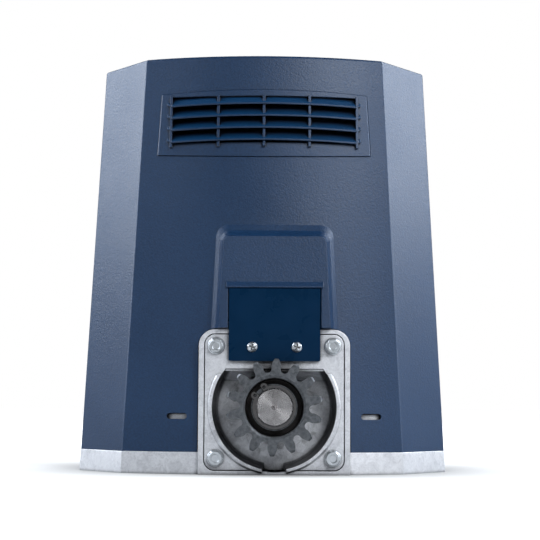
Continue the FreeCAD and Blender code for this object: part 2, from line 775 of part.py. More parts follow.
def clutch_key_block(side):
    reach = shaft_radius + 2.4
    x0 = gear_x + min(side * reach, side * (shaft_radius - 3))
    x1 = gear_x + max(side * reach, side * (shaft_radius - 3))
    return box(x0, x1, dog_y + 1.5, housing_rear_y - 0.5, gear_z - 2.5, gear_z + 2.5)


def clutch_keys():
    return Part.makeCompound([clutch_key_block(side) for side in (-1, 1)])


def pinion_key():
    return box(gear_x - key_width / 2, gear_x + key_width / 2, key_front_y, key_front_y + key_length,
               gear_z - shaft_radius - key_depth + 0.2, gear_z - shaft_radius + key_depth)


def circlip():
    """External retaining ring with two eared ends, its gap up and to the viewer's left."""
    inner = groove_radius + 0.02
    outer = inner + 2.6
    gap_centre = 133.0
    ring = rod_y(outer, circlip_y + 0.05, circlip_y + circlip_width - 0.05)
    ring = ring.cut(rod_y(inner, circlip_y - 1, circlip_y + circlip_width + 1))
    ears = []
    holes = []
    for side in (-1, 1):
        angle = math.radians(gap_centre + side * 15.5)
        x = gear_x + (outer + 0.6) * math.cos(angle)
        z = gear_z + (outer + 0.6) * math.sin(angle)
        ears.append(rod_y(2.5, circlip_y + 0.05, circlip_y + circlip_width - 0.05, x, z))
        holes.append(rod_y(1.15, circlip_y - 1, circlip_y + circlip_width + 1, x, z))
    wedge_points = [V(gear_x, circlip_y - 1, gear_z)]
    for side in (-1, 1):
        angle = math.radians(gap_centre + side * 9.5)
        wedge_points.append(V(gear_x + 30 * math.cos(angle), circlip_y - 1, gear_z + 30 * math.sin(angle)))
    wedge = Part.Face(Part.makePolygon(wedge_points + wedge_points[:1])).extrude(V(0, 5, 0))
    body = ring.fuse(ears).cut(rod_y(inner, circlip_y - 1, circlip_y + 3)).cut(wedge)
    for hole in holes:
        body = body.cut(hole)
    return body.removeSplitter()


# ---------------------------------------------------------------- worm gear

lead_angle = math.degrees(math.atan(worm_module / worm_reference))
worm_pitch = math.pi * worm_module


def worm_wheel():
    twist = -wheel_face / 2 * math.tan(math.radians(lead_angle)) / (wheel_reference / 2)

    def section(y, turn):
        def place(radius, angle):
            return V(gear_x + radius * math.cos(angle + turn), y, gear_z + radius * math.sin(angle + turn))
        return gear_outline(wheel_teeth, worm_module, gear_backlash, place, dedendum=1.2)

    rim = Part.makeLoft([section(wheel_front_y, -twist), section(wheel_back_y, twist)], True, True)
    rim = rim.cut(rod_y(wheel_rim_radius, wheel_front_y - 1, wheel_back_y + 1))
    throat = turned_y([
        (wheel_rim_radius, wheel_front_y - 0.1), (wheel_tip_radius - 1.2, wheel_front_y - 0.1),
        (wheel_tip_radius + 0.2, wheel_front_y + 2.2), (wheel_tip_radius + 0.2, wheel_back_y - 2.2),
        (wheel_tip_radius - 1.2, wheel_back_y + 0.1), (wheel_rim_radius, wheel_back_y + 0.1),
    ])
    return rim.common(throat)


def wheel_hub():
    web = 4.0
    body = turned_y([
        (shaft_radius + running_clearance, wheel_front_y), (wheel_hub_radius, wheel_front_y),
        (wheel_hub_radius, wheel_y - web), (wheel_rim_radius - 3, wheel_y - web),
        (wheel_rim_radius - 3, wheel_front_y + 1), (wheel_rim_radius, wheel_front_y + 1),
        (wheel_rim_radius, wheel_back_y - 1), (wheel_rim_radius - 3, wheel_back_y - 1),
        (wheel_rim_radius - 3, wheel_y + web), (wheel_hub_radius, wheel_y + web),
        (wheel_hub_radius, dog_y), (shaft_radius + running_clearance, dog_y),
    ])
    return body.fuse(dogs(dog_y, 0)).removeSplitter()


def dogs(y0, turn):
    """Four face teeth of a dog ring, standing dog_height off y0 towards the rear."""
    ring = rod_y(wheel_hub_radius - 2.5, y0 - 0.01, y0 + dog_height)
    ring = ring.cut(rod_y(shaft_radius + 3, y0 - 1, y0 + dog_height + 1))
    teeth = []
    for k in range(4):
        bar = box(gear_x, gear_x + 30, y0 - 0.01, y0 + dog_height, gear_z - 5.0, gear_z + 5.0)
        bar.rotate(V(gear_x, y0, gear_z), V(0, 1, 0), 90 * k + turn)
        teeth.append(ring.common(bar))
    return teeth


def clutch_collar():
    body = turned_y([
        (shaft_radius + running_clearance, clutch_front_y), (clutch_radius, clutch_front_y),
        (clutch_radius, clutch_front_y + 4), (clutch_radius - 3, clutch_front_y + 4),
        (clutch_radius - 3, clutch_back_y - 3), (clutch_radius, clutch_back_y - 3),
        (clutch_radius, clutch_back_y), (shaft_radius + running_clearance, clutch_back_y),
    ])
    teeth = []
    for tooth in dogs(clutch_front_y - dog_height, 45):
        teeth.append(tooth)
    body = body.fuse(teeth)
    for side in (-1, 1):
        reach = shaft_radius + 2.4 + running_clearance
        x0 = gear_x + min(0, side * reach)
        x1 = gear_x + max(0, side * reach)
        body = body.cut(box(x0, x1, clutch_front_y - dog_height - 1, clutch_back_y + 1,
                            gear_z - 2.5 - running_clearance, gear_z + 2.5 + running_clearance))
    return body.removeSplitter()


def worm_shaft():
    bottom = worm_z0 - 1 - worm_bearing_width + 0.5
    root = worm_reference / 2 - 1.2 * worm_module
    core = turned_z([
        (0, bottom), (worm_shaft_radius, bottom), (worm_shaft_radius, worm_z0), (root, worm_z0 + 2),
        (root, worm_z1 - 2), (worm_shaft_radius, worm_z1), (worm_shaft_radius, motor_top_z + 2),
        (worm_shaft_radius - 2, motor_top_z + 2), (worm_shaft_radius - 2, fan_z0 + fan_height),
        (0, fan_z0 + fan_height),
    ], worm_x, wheel_y)
    turns = 5
    start = gear_z - turns * worm_pitch / 2
    path = Part.makeHelix(worm_pitch, turns * worm_pitch, worm_reference / 2)
    path.translate(V(worm_x, wheel_y, start))
    half_tip = worm_pitch / 4 - worm_module * math.tan(math.radians(20))
    half_root = worm_pitch / 4 + 1.2 * worm_module * math.tan(math.radians(20)) + 0.1
    inner = root - 0.5
    tooth = [
        V(worm_x + inner, wheel_y, start - half_root), V(worm_x + worm_tip_radius, wheel_y, start - half_tip),
        V(worm_x + worm_tip_radius, wheel_y, start + half_tip), V(worm_x + inner, wheel_y, start + half_root),
    ]
    profile = Part.makePolygon(tooth + tooth[:1])
    thread = Part.Wire(path.Edges).makePipeShell([profile], True, True)
    body = core.fuse(thread)
    return body


# ---------------------------------------------------------------- motor

motor_base_z = motor_flange_z + motor_flange_thickness
lower_bell_height = 12.0
stator_z0 = motor_base_z + lower_bell_height
stator_z1 = stator_z0 + stator_length
motor_top_z = stator_z1 + bell_height
fan_z0 = motor_top_z + 7.0
fan_height = 17.0
cowl_top_z = motor_top_z + cowl_height
bore_radius = rotor_radius + air_gap
stator_bore = motor_radius - stator_wall
tie_radius = motor_radius - 5.0
tie_bolt_radius = 2.5


def tie_places():
    return [
        (worm_x + tie_radius * math.cos(math.radians(45 + 90 * k)),
         wheel_y + tie_radius * math.sin(math.radians(45 + 90 * k)))
        for k in range(4)
    ]


def motor_lower_bell():
    body = turned_z([
        (worm_bearing_radius, motor_base_z), (motor_radius, motor_base_z), (motor_radius, stator_z0),
        (stator_bore, stator_z0), (stator_bore, motor_base_z + bell_floor),
        (worm_bearing_radius, motor_base_z + bell_floor),
    ], worm_x, wheel_y)
    for x, y in tie_places():
        body = body.cut(rod_z(tie_bolt_radius, motor_base_z - 1, stator_z0 + 1, x, y))
    return body


def stator_core():
    body = rod_z(motor_radius, stator_z0, stator_z1, worm_x, wheel_y)
    body = body.cut(rod_z(stator_bore, stator_z0 - 1, stator_z1 + 1, worm_x, wheel_y))
    pole_length = motor_radius - 8.5 - bore_radius
    poles = []
    for k in range(8):
        tooth = box(worm_x + bore_radius, worm_x + bore_radius + pole_length, wheel_y - 3.5, wheel_y + 3.5,
                    stator_z0 + 6, stator_z1 - 6)
        tooth.rotate(V(worm_x, wheel_y, 0), V(0, 0, 1), 45 * k)
        poles.append(tooth)
    body = body.fuse(poles).cut(rod_z(bore_radius, stator_z0 - 1, stator_z1 + 1, worm_x, wheel_y))
    fin_depth = 1.6
    fins = 20
    for k in range(fins):
        if (k * 360 / fins) % 90 == 45:
            continue
        groove = box(worm_x + motor_radius - fin_depth, worm_x + motor_radius + 5, wheel_y - 2, wheel_y + 2,
                     stator_z0 + 4, stator_z1 - 4)
        groove.rotate(V(worm_x, wheel_y, 0), V(0, 0, 1), k * 360 / fins)
        body = body.cut(groove)
    for x, y in tie_places():
        body = body.cut(rod_z(tie_bolt_radius, stator_z0 - 1, stator_z1 + 1, x, y))
    return body


def stator_winding():
    coils = []
    for z0, z1 in ((stator_z0 + 0.5, stator_z0 + 6), (stator_z1 - 6, stator_z1 - 0.5)):
        coils.append(turned_z([
            (bore_radius + 2, z0 + 1.5), (bore_radius + 3.5, z0), (motor_radius - 11, z0),
            (stator_bore, z0 + 1.5), (stator_bore, z1 - 1.5), (motor_radius - 11, z1),
            (bore_radius + 3.5, z1), (bore_radius + 2, z1 - 1.5),
        ], worm_x, wheel_y))
    return Part.makeCompound(coils)


def motor_upper_bell():
    hub = worm_bearing_radius + 4
    body = turned_z([
        (worm_shaft_radius + 1, motor_top_z - 3), (worm_shaft_radius + 1, motor_top_z),
        (motor_radius - 4, motor_top_z), (motor_radius, motor_top_z - 4), (motor_radius, stator_z1),
        (stator_bore, stator_z1), (stator_bore, motor_top_z - 5), (hub, motor_top_z - 5),
        (hub, motor_top_z - 12), (worm_bearing_radius, motor_top_z - 12),
        (worm_bearing_radius, motor_top_z - 3),
    ], worm_x, wheel_y)
    for x, y in tie_places():
        body = body.cut(rod_z(tie_bolt_radius, stator_z1 - 1, motor_top_z + 1, x, y))
    return body


def motor_tie_bolts():
    bolts = []
    for x, y in tie_places():
        shank = rod_z(tie_bolt_radius, motor_base_z, motor_top_z + 0.5, x, y)
        head = rod_z(tie_head_radius, motor_top_z, motor_top_z + tie_head_height, x, y)
        slot = box(x - 5, x + 5, y - 0.6, y + 0.6, motor_top_z + tie_head_height - 1.2, motor_top_z + 4)
        bolts.append(shank.fuse(head).cut(slot))
    return Part.makeCompound(bolts)


def rotor_core():
    body = rod_z(rotor_radius, stator_z0 + 6, stator_z1 - 6, worm_x, wheel_y)
    inner = rotor_radius - 9
    outer = rotor_radius - 1
    rings = [
        turned_z([(inner, z0), (outer, z0), (outer, z1), (inner, z1)], worm_x, wheel_y)
        for z0, z1 in ((stator_z0 + 1, stator_z0 + 6.5), (stator_z1 - 6.5, stator_z1 - 1))
    ]
    return fuse([body] + rings).cut(rod_z(worm_shaft_radius, 0, height, worm_x, wheel_y))


def cooling_fan():
    radius = motor_radius - 6.0
    shaft = worm_shaft_radius - 2
    hub = rod_z(shaft + 5, fan_z0, fan_z0 + fan_height - 2, worm_x, wheel_y)
    disc = rod_z(radius, fan_z0, fan_z0 + 2, worm_x, wheel_y)
    blades = []
    for k in range(7):
        blade = box(worm_x + shaft + 4, worm_x + radius, wheel_y - 0.9, wheel_y + 0.9, fan_z0 + 1,
                    fan_z0 + fan_height - 4)
        blade.rotate(V(worm_x, wheel_y, 0), V(0, 0, 1), k * 360 / 7)
        blades.append(blade)
    return fuse([hub, disc] + blades).cut(rod_z(shaft, 0, height, worm_x, wheel_y))


def fan_cowl():
    wall = 1.5
    body = turned_z([
        (motor_radius - 3, motor_top_z + 3.4), (motor_radius, motor_top_z + 3.4),
        (motor_radius, cowl_top_z - 6),
        (motor_radius - 6, cowl_top_z), (6, cowl_top_z), (6, cowl_top_z - wall),
        (motor_radius - 6.6, cowl_top_z - wall), (motor_radius - wall, cowl_top_z - 6.6),
        (motor_radius - wall, motor_top_z + 5), (motor_radius - 3, motor_top_z + 5),
    ], worm_x, wheel_y)
    for radius in (14.0, 23.0, 32.0):
        ring = rod_z(radius + 5.5, cowl_top_z - 4, cowl_top_z + 1, worm_x, wheel_y)
        ring = ring.cut(rod_z(radius, cowl_top_z - 5, cowl_top_z + 2, worm_x, wheel_y))
        spokes = []
        for k in range(3):
            spoke = box(worm_x - motor_radius, worm_x + motor_radius, wheel_y - 1.5, wheel_y + 1.5,
                        cowl_top_z - 5, cowl_top_z + 2)
            spoke.rotate(V(worm_x, wheel_y, 0), V(0, 0, 1), 60 * k)
            spokes.append(spoke)
        body = body.cut(ring.cut(fuse(spokes)))
    lugs = []
    for x, y in tie_places():
        lug = rod_z(4.8, motor_top_z + 3.0, motor_top_z + 5, x, y)
        lugs.append(lug)
    return fuse([body] + lugs)


# ---------------------------------------------------------------- guard plate and limit sensor

def guard_plate():
    y1 = face_y
    y0 = face_y - guard_thickness
    x0 = gear_x - guard_width / 2
    x1 = gear_x + guard_width / 2
    body = plate_y(x0, x1, guard_bottom_z, guard_top_z, 0.8, y0, y1)
    for x, z in guard_screw_places:
        body = body.cut(rod_y(guard_screw_radius + 0.3, y0 - 1, y1 + 1, x, z))
    return body


def guard_screws():
    screws = []
    seat = face_y - guard_thickness
    for x, z in guard_screw_places:
        head = turned_y([
            (0, seat - 2.4), (1.6, seat - 2.3), (guard_screw_head - 0.8, seat - 1.7),
            (guard_screw_head, seat - 0.8), (guard_screw_head, seat), (0, seat),
        ], x, z)
        shank = rod_y(guard_screw_radius, seat - 1, face_y + guard_screw_length, x, z)
        cross = []
        for turn in (20, 110):
            bar = box(x - 2.1, x + 2.1, seat - 3, seat - 1.2, z - 0.45, z + 0.45)
            bar.rotate(V(x, seat, z), V(0, 1, 0), turn)
            cross.append(bar)
        screws.append(fuse([head, shank]).cut(fuse(cross)))
    return Part.makeCompound(screws)


sensor_width = 34.0
sensor_depth = 8.0


def limit_sensor():
    """Magnetic limit sensor clipped to the back of the guard plate, above the frame."""
    z0 = frame_top_z + 2
    body = plate_y(gear_x - sensor_width / 2, gear_x + sensor_width / 2, z0, z0 + 22, 2, face_y,
                   face_y + sensor_depth)
    tail = rod_z(2.5, z0 - 1, z0 + 1, gear_x, face_y + sensor_depth / 2)
    return fuse([body, tail])


# ---------------------------------------------------------------- release mechanism

ear_gap = 12.0
barrel_radius = 4.5
crank_radius = release_travel
crank_pin_radius = 1.5
yoke_play = 1.35
yoke_bar = 1.8


def release_lever():
    half = lever_width / 2
    bottom = hinge_z - lever_length
    grip = plate_y(gear_x - half, gear_x + half, bottom, hinge_z, 5, lever_y0, lever_y1)
    grip = grip.cut(rod_x(16, gear_x - half + 4, gear_x + half - 4, lever_y1 + 11.5, bottom + 12))
    barrel = rod_x(barrel_radius, gear_x - half, gear_x + half, lever_hinge_y, hinge_z)
    mouth = box(gear_x - ear_gap / 2, gear_x + ear_gap / 2, lever_y0 - 5, lever_y1 + 1,
                hinge_z - crank_radius - 6.5, hinge_z + barrel_radius + 1)
    crank = rod_x(crank_pin_radius, gear_x - ear_gap / 2 - 1, gear_x + ear_gap / 2 + 1, lever_hinge_y,
                  hinge_z - crank_radius)
    body = fuse([grip, barrel]).cut(mouth).fuse(crank)
    for side in (-1, 1):
        x0 = gear_x + side * (ear_gap / 2 + 3)
        x1 = gear_x + side * (half + 1)
        body = body.cut(rod_x(lever_pin_radius + running_clearance, min(x0, x1), max(x0, x1),
                              lever_hinge_y, hinge_z))
    body = body.cut(rod_y(lock_radius + running_clearance, lever_y0 - 1, lever_y1 + 1, gear_x, lock_z))
    return body.removeSplitter()


def lock_cylinder():
    """Key cylinder in the lever, with a square end that carries the cam."""
    barrel = rod_y(lock_radius, tongue_y + tongue_thickness, lever_y1 + 0.5, gear_x, lock_z)
    collar = turned_y([
        (0, lever_y1 + 0.05), (lock_radius + 1.8, lever_y1 + 0.05), (lock_radius + 1.8, lever_y1 + 0.8),
        (lock_radius + 1, lever_y1 + 1.6), (0, lever_y1 + 1.6),
    ], gear_x, lock_z)
    slot = box(gear_x - 0.9, gear_x + 0.9, lever_y1 - 4, lever_y1 + 3, lock_z - 3.6, lock_z + 3.6)
    square = box(gear_x - cam_square, gear_x + cam_square, tongue_y, tongue_y + tongue_thickness + 1,
                 lock_z - cam_square, lock_z + cam_square)
    return fuse([barrel, collar, square]).cut(slot).removeSplitter()


def lock_cam():
    """Cam on the cylinder's square end, which turns behind the bracket's catch."""
    plate = plate_y(gear_x - cam_half_width, gear_x + cam_half_width, lock_z - lock_radius - tongue_reach,
                    lock_z + lock_radius - 2, 3, tongue_y, tongue_y + tongue_thickness)
    hole = box(gear_x - cam_square, gear_x + cam_square, tongue_y - 1, tongue_y + tongue_thickness + 1,
               lock_z - cam_square, lock_z + cam_square)
    return plate.cut(hole)


def release_pivot_pins():
    pins = []
    for side in (-1, 1):
        x0 = gear_x + side * (ear_gap / 2 + 3.3)
        x1 = gear_x + side * (bracket_hollow + pin_grip)
        pins.append(rod_x(lever_pin_radius, min(x0, x1), max(x0, x1), lever_hinge_y, hinge_z))
    return Part.makeCompound(pins)


fork_y0 = clutch_front_y + 4 + 0.3
fork_y1 = clutch_back_y - 3 - 0.3
rod_front_y = clutch_front_y - 4.0


def shift_rod():
    """Rod along Y whose rear yoke holds the lever's crank pin."""
    reach = crank_pin_radius + yoke_play
    body = rod_y(rod_radius, rod_front_y, lever_hinge_y - reach - 1, gear_x, rod_z_place)
    yoke = plate_y(gear_x - rod_radius, gear_x + rod_radius, hinge_z - crank_radius - crank_pin_radius - 2.6,
                   hinge_z + crank_pin_radius + 2.6, 1.2, lever_hinge_y - reach - 4,
                   lever_hinge_y + reach + yoke_bar)
    window = box(gear_x - 6, gear_x + 6, lever_hinge_y - reach, lever_hinge_y + reach,
                 hinge_z - crank_radius - crank_pin_radius - 0.8, hinge_z + crank_pin_radius + 0.8)
    return fuse([body, yoke]).cut(window).removeSplitter()


def shift_fork():
    arms = rod_y(clutch_radius + 3.5, fork_y0, fork_y1)
    arms = arms.cut(rod_y(clutch_radius - 3 + 0.3, fork_y0 - 1, fork_y1 + 1))
    arms = arms.cut(box(gear_x - 40, gear_x + 40, fork_y0 - 1, fork_y1 + 1, gear_z - 40, gear_z - 2))
    boss = rod_y(rod_radius + 2.5, fork_y0, fork_y1, gear_x, rod_z_place)
    neck = box(gear_x - 5, gear_x + 5, fork_y0, fork_y1, gear_z + clutch_radius, rod_z_place)
    body = fuse([arms, boss, neck]).cut(rod_y(rod_radius, fork_y0 - 1, fork_y1 + 1, gear_x, rod_z_place))
    return body.removeSplitter()


# ---------------------------------------------------------------- electrical parts

transformer_x = base_width / 2 - 45.5
transformer_y = -22.0
core_x = 44.0
core_y = 34.0
core_z = 56.0
coil_swell = 9.0
core_foot = 1.5


def transformer_core():
    x0 = transformer_x - core_x / 2
    z0 = floor_thickness + core_foot
    body = box(x0, x0 + core_x, transformer_y - core_y / 2, transformer_y + core_y / 2, z0, z0 + core_z)
    leg = core_x / 6
    window_z = core_z - 2 * leg
    for k in (0, 1):
        wx = x0 + leg + k * 3 * leg
        body = body.cut(box(wx, wx + leg, transformer_y - core_y, transformer_y + core_y, z0 + leg,
                            z0 + leg + window_z))
    return body


def transformer_winding():
    leg = core_x / 6
    z0 = floor_thickness + core_foot + leg + 1
    z1 = floor_thickness + core_foot + core_z - leg - 1
    half_x = core_x / 2 - leg
    half_y = core_y / 2 + coil_swell
    body = plate_z(transformer_x - half_x, transformer_x + half_x, transformer_y - half_y,
                   transformer_y + half_y, 4, z0, z1)
    centre = box(transformer_x - leg, transformer_x + leg, transformer_y - core_y / 2,
                 transformer_y + core_y / 2, z0 - 1, z1 + 1)
    return body.cut(centre)


def transformer_bracket():
    wing = 11.0
    x0 = transformer_x - core_x / 2
    z0 = floor_thickness
    sheet = 1.5
    foot = plate_z(x0 - wing, x0 + core_x + wing, transformer_y - core_y / 2, transformer_y + core_y / 2, 4,
                   z0, z0 + sheet)
    top = z0 + core_foot + core_z
    strap = box(x0 - sheet, x0 + core_x + sheet, transformer_y - 8, transformer_y + 8, z0, top + sheet)
    strap = strap.cut(box(x0, x0 + core_x, transformer_y - 9, transformer_y + 9, z0 + sheet, top))
    return fuse([foot, strap])


capacitor_x = base_width / 2 - 45.5
capacitor_y = 26.0
capacitor_radius = 18.0
capacitor_height = 72.0


def run_capacitor():
    z0 = floor_thickness
    top = z0 + capacitor_height
    can = turned_z([
        (0, z0), (capacitor_radius - 2, z0), (capacitor_radius, z0 + 2), (capacitor_radius, top - 1),
        (capacitor_radius - 1, top), (capacitor_radius - 1.5, top), (capacitor_radius - 1.5, top - 2),
        (0, top - 2),
    ], capacitor_x, capacitor_y)
    tabs = [
        box(capacitor_x + dx - 0.5, capacitor_x + dx + 0.5, capacitor_y - 3.2, capacitor_y + 3.2,
            top - 3, top + 8)
        for dx in (-6, 6)
    ]
    return fuse([can] + tabs)


def capacitor_clamp():
    z0 = floor_thickness + 20
    band = rod_z(capacitor_radius + 2, z0, z0 + 14, capacitor_x, capacitor_y)
    band = band.cut(rod_z(capacitor_radius, z0 - 1, z0 + 15, capacitor_x, capacitor_y))
    post = box(capacitor_x - capacitor_radius - 4, capacitor_x - capacitor_radius - 1, capacitor_y - 5,
               capacitor_y + 5, floor_thickness, z0 + 14)
    foot = box(capacitor_x - capacitor_radius - 14, capacitor_x - capacitor_radius - 1, capacitor_y - 5,
               capacitor_y + 5, floor_thickness, floor_thickness + 2.5)
    return fuse([band, post, foot])


bracket_gap = 4.85
bracket_x = gear_x + drum_radius + bracket_gap
board_y0 = -58.0
board_y1 = 52.0
board_z0 = 104.0
board_z1 = 200.0
tray_wall = 3.0
leg_width = 12.0
leg_rib = 3.0
standoff = 5.0
board_thickness = 1.6
board_x = bracket_x + tray_wall + standoff
board_screw_places = [(y, z) for y in (board_y0 + 6, board_y1 - 6) for z in (board_z0 + 6, board_z1 - 6)]


def plate_x(x0, x1, grow, radius):
    """Plate with rounded corners, larger than the control board by grow on every side."""
    corners = [V(x0, board_y0 - grow, board_z0 - grow), V(x0, board_y1 + grow, board_z0 - grow),
               V(x0, board_y1 + grow, board_z1 + grow), V(x0, board_y0 - grow, board_z1 + grow)]
    return Part.Face(rounded_outline(corners, [radius] * 4)).extrude(V(x1 - x0, 0, 0))


def board_bracket():
    """Moulded tray on two legs that stand on the base floor beside the gearbox."""
    tray = plate_x(bracket_x, board_x + 4, 3, 4)
    tray = tray.cut(plate_x(bracket_x + tray_wall, board_x + 5, 1, 2))
    posts = [rod_x(3.5, bracket_x + 1, board_x, y, z) for y, z in board_screw_places]
    legs = []
    for y, rib_y in ((board_y0, board_y0), (board_y1 - leg_width, board_y1 - leg_rib)):
        legs.append(box(bracket_x, bracket_x + 4, y, y + leg_width, floor_thickness, board_z0))
        legs.append(box(bracket_x, bracket_x + 9, rib_y, rib_y + leg_rib, floor_thickness, board_z0 - 1))
    body = fuse([tray] + posts + legs)
    for y, z in board_screw_places:
        body = body.cut(rod_x(1.4, bracket_x + 2, board_x + 1, y, z))
    return body


def control_board():
    body = plate_x(board_x, board_x + board_thickness, 0, 1.5)
    for y, z in board_screw_places:
        body = body.cut(rod_x(1.6, board_x - 1, board_x + 3, y, z))
    return body


def board_screws():
    front = board_x + board_thickness
    return Part.makeCompound([
        fuse([rod_x(1.4, bracket_x + 3, front + 0.5, y, z), rod_x(2.8, front, front + 2, y, z)])
        for y, z in board_screw_places
    ])


def terminal_blocks():
    front = board_x + board_thickness
    blocks = []
    for row in range(4):
        y = board_y0 + 16 + row * 21
        block = box(front, front + 11, y, y + 18, board_z0 + 3, board_z0 + 14)
        for way in range(3):
            block = block.cut(box(front + 3, front + 8, y + 1.5 + 5.5 * way, y + 5.5 + 5.5 * way,
                                  board_z0 + 2, board_z0 + 9))
        blocks.append(block)
    return Part.makeCompound(blocks)


def relays():
    front = board_x + board_thickness
    places = [(board_y0 + 18, 28.0), (board_y0 + 18, 56.0), (board_y1 - 38, 44.0)]
    return Part.makeCompound([
        box(front, front + 16, y, y + 19, board_z0 + dz, board_z0 + dz + 15.5) for y, dz in places
    ])


def controller_chip():
    front = board_x + board_thickness
    y = board_y0 + 50
    z = board_z0 + 42
    return box(front, front + 3, y, y + 14, z, z + 14)


def cable_gland():
    """Rubber gland in the base floor for the supply cable."""
    return turned_z([
        (5.0, 0.6), (gland_radius, 0.6), (gland_radius, floor_thickness), (gland_radius + 3, floor_thickness),
        (gland_radius + 3, floor_thickness + 2), (9.5, floor_thickness + 10), (5.0, floor_thickness + 10),
    ], gland_x, gland_y)


def levelling_screws():
    screws = []
    for x, y in levelling_places:
        body = rod_z(levelling_radius, 0.5, levelling_top_z, x, y)
        slot = box(x - 5, x + 5, y - 0.6, y + 0.6, levelling_top_z - 2, levelling_top_z + 1)
        screws.append(body.cut(slot))
    return Part.makeCompound(screws)


# ---------------------------------------------------------------- cover

def bump_face_y(z):
    """Y of the raised housing's flat face at height z."""
    top_y = front_y(gear_x, bump_face_top_z) - bump_proud_top
    slope = (bump_proud_bottom - bump_proud_top) / (bump_face_top_z - frame_top_z) + front_lean / height
    return top_y - slope * (bump_face_top_z - z)


def bow(start, middle, end):
    """Arc through three points, or a line where they lie straight."""
    if (middle - start).cross(end - start).Length < 1e-3:
        return Part.LineSegment(start, end).toShape()
    return Part.Arc(start, middle, end).toShape()


def bump_section(spread, rise, inset, back=0.0):
    """Outline round the raised housing, from its face (spread 0, rise 1) to the cover's skin (1, 0)."""
    radius = bump_face_corner + (bump_foot_corner - bump_face_corner) * spread
    top = bump_face_top_z + (bump_top_z - bump_face_top_z) * spread - inset
    upper = (bump_face_width + (bump_width_top - bump_face_width) * spread) / 2 - inset
    taper = (bump_width_bottom - bump_width_top) / 2 / (bump_face_top_z - frame_top_z)
    lower = upper + taper * (top - radius - bump_low_z)
    diagonal = radius * (1 - math.cos(math.radians(45)))

    def place(across, z):
        x = gear_x + across
        skin_y = front_y(x, z, inset)
        return V(x, skin_y + (bump_face_y(z) + inset - skin_y) * rise + back, z)

    shoulder = [(upper, top - radius), (upper - diagonal, top - diagonal), (upper - radius, top)]
    right = [place(x, z) for x, z in shoulder]
    left = [place(-x, z) for x, z in reversed(shoulder)]
    foot_right = place(lower, bump_low_z)
    foot_left = place(-lower, bump_low_z)
    return Part.Wire([
        bow(foot_left, place(0, bump_low_z), foot_right), Part.LineSegment(foot_right, right[0]).toShape(),
        bow(*right), bow(right[2], place(0, top), left[0]), bow(*left),
        Part.LineSegment(left[2], foot_left).toShape(),
    ])


def bump(inset):
    """Raised housing above the frame, with a hollow sweep at its foot and a sharp flat face."""
    steps = [(0.0, 1.0), (0.22, 0.55), (0.5, 0.25), (1.0, 0.0)]
    sections = [bump_section(spread, rise, inset) for spread, rise in steps]
    root = bump_section(1.0, 1.0, inset, back=bump_root_depth)
    return Part.makeLoft([root] + sections[::-1], True, True)


def vent_outline(grow):
    """Closed wire of the vent panel: arched top and bottom, sides that follow the housing's taper."""
    top = vent_half_top + grow
    low = vent_half_bottom + grow
    y = -base_depth
    upper = vent_top_z + grow
    lower = vent_bottom_z - grow
    edges = [
        Part.Arc(V(-low, y, lower), V(0, y, lower - vent_arch), V(low, y, lower)).toShape(),
        Part.LineSegment(V(low, y, lower), V(top, y, upper)).toShape(),
        Part.Arc(V(top, y, upper), V(0, y, upper + vent_arch), V(-top, y, upper)).toShape(),
        Part.LineSegment(V(-top, y, upper), V(-low, y, lower)).toShape(),
    ]
    return Part.Wire(edges)


def vent_prism(grow):
    return Part.Face(vent_outline(grow)).extrude(V(0, base_depth, 0))


aperture_half = rib_outer_x + rib_width / 2
aperture_z0 = blade_first_z - 1.5
aperture_z1 = blade_first_z + blade_count * blade_pitch - 2.6


def vent_aperture(grow):
    half = aperture_half + grow
    return box(-half, half, -base_depth, 0, aperture_z0 - grow, aperture_z1 + grow)


def vent_blade(z):
    """Louvre that follows the bow, drops towards its rounded ends and slopes up to the inside."""
    axis_y = -base_depth / 2 + lean(z) + bow_radius
    front = bow_radius + blade_proud
    back = front - blade_reach
    rise = blade_slope * blade_reach
    profile = [V(0, axis_y - front, z - blade_edge / 2), V(0, axis_y - front, z + blade_edge / 2),
               V(0, axis_y - back, z + blade_edge / 2 + rise), V(0, axis_y - back, z - blade_edge / 2 + rise)]
    face = Part.Face(Part.makePolygon(profile + profile[:1]))
    tilt = math.radians(blade_droop)
    axis = V(0, math.sin(tilt), math.cos(tilt))
    pivot = V(0, axis_y, z + front * math.tan(tilt))
    half = math.degrees(math.asin(blade_half / bow_radius))
    face.rotate(pivot, axis, -half)
    blade = face.revolve(pivot, axis, 2 * half)
    edge_y = front_y(blade_half, z) - blade_proud
    ends = plate_z(-blade_half, blade_half, edge_y, edge_y + 60, blade_end_radius, z - 10, z + rise + 10)
    straight = blade_half - blade_end_radius
    middle = box(-straight, straight, -base_depth, 0, z - 10, z + rise + 10)
    return blade.common(ends.fuse(middle))


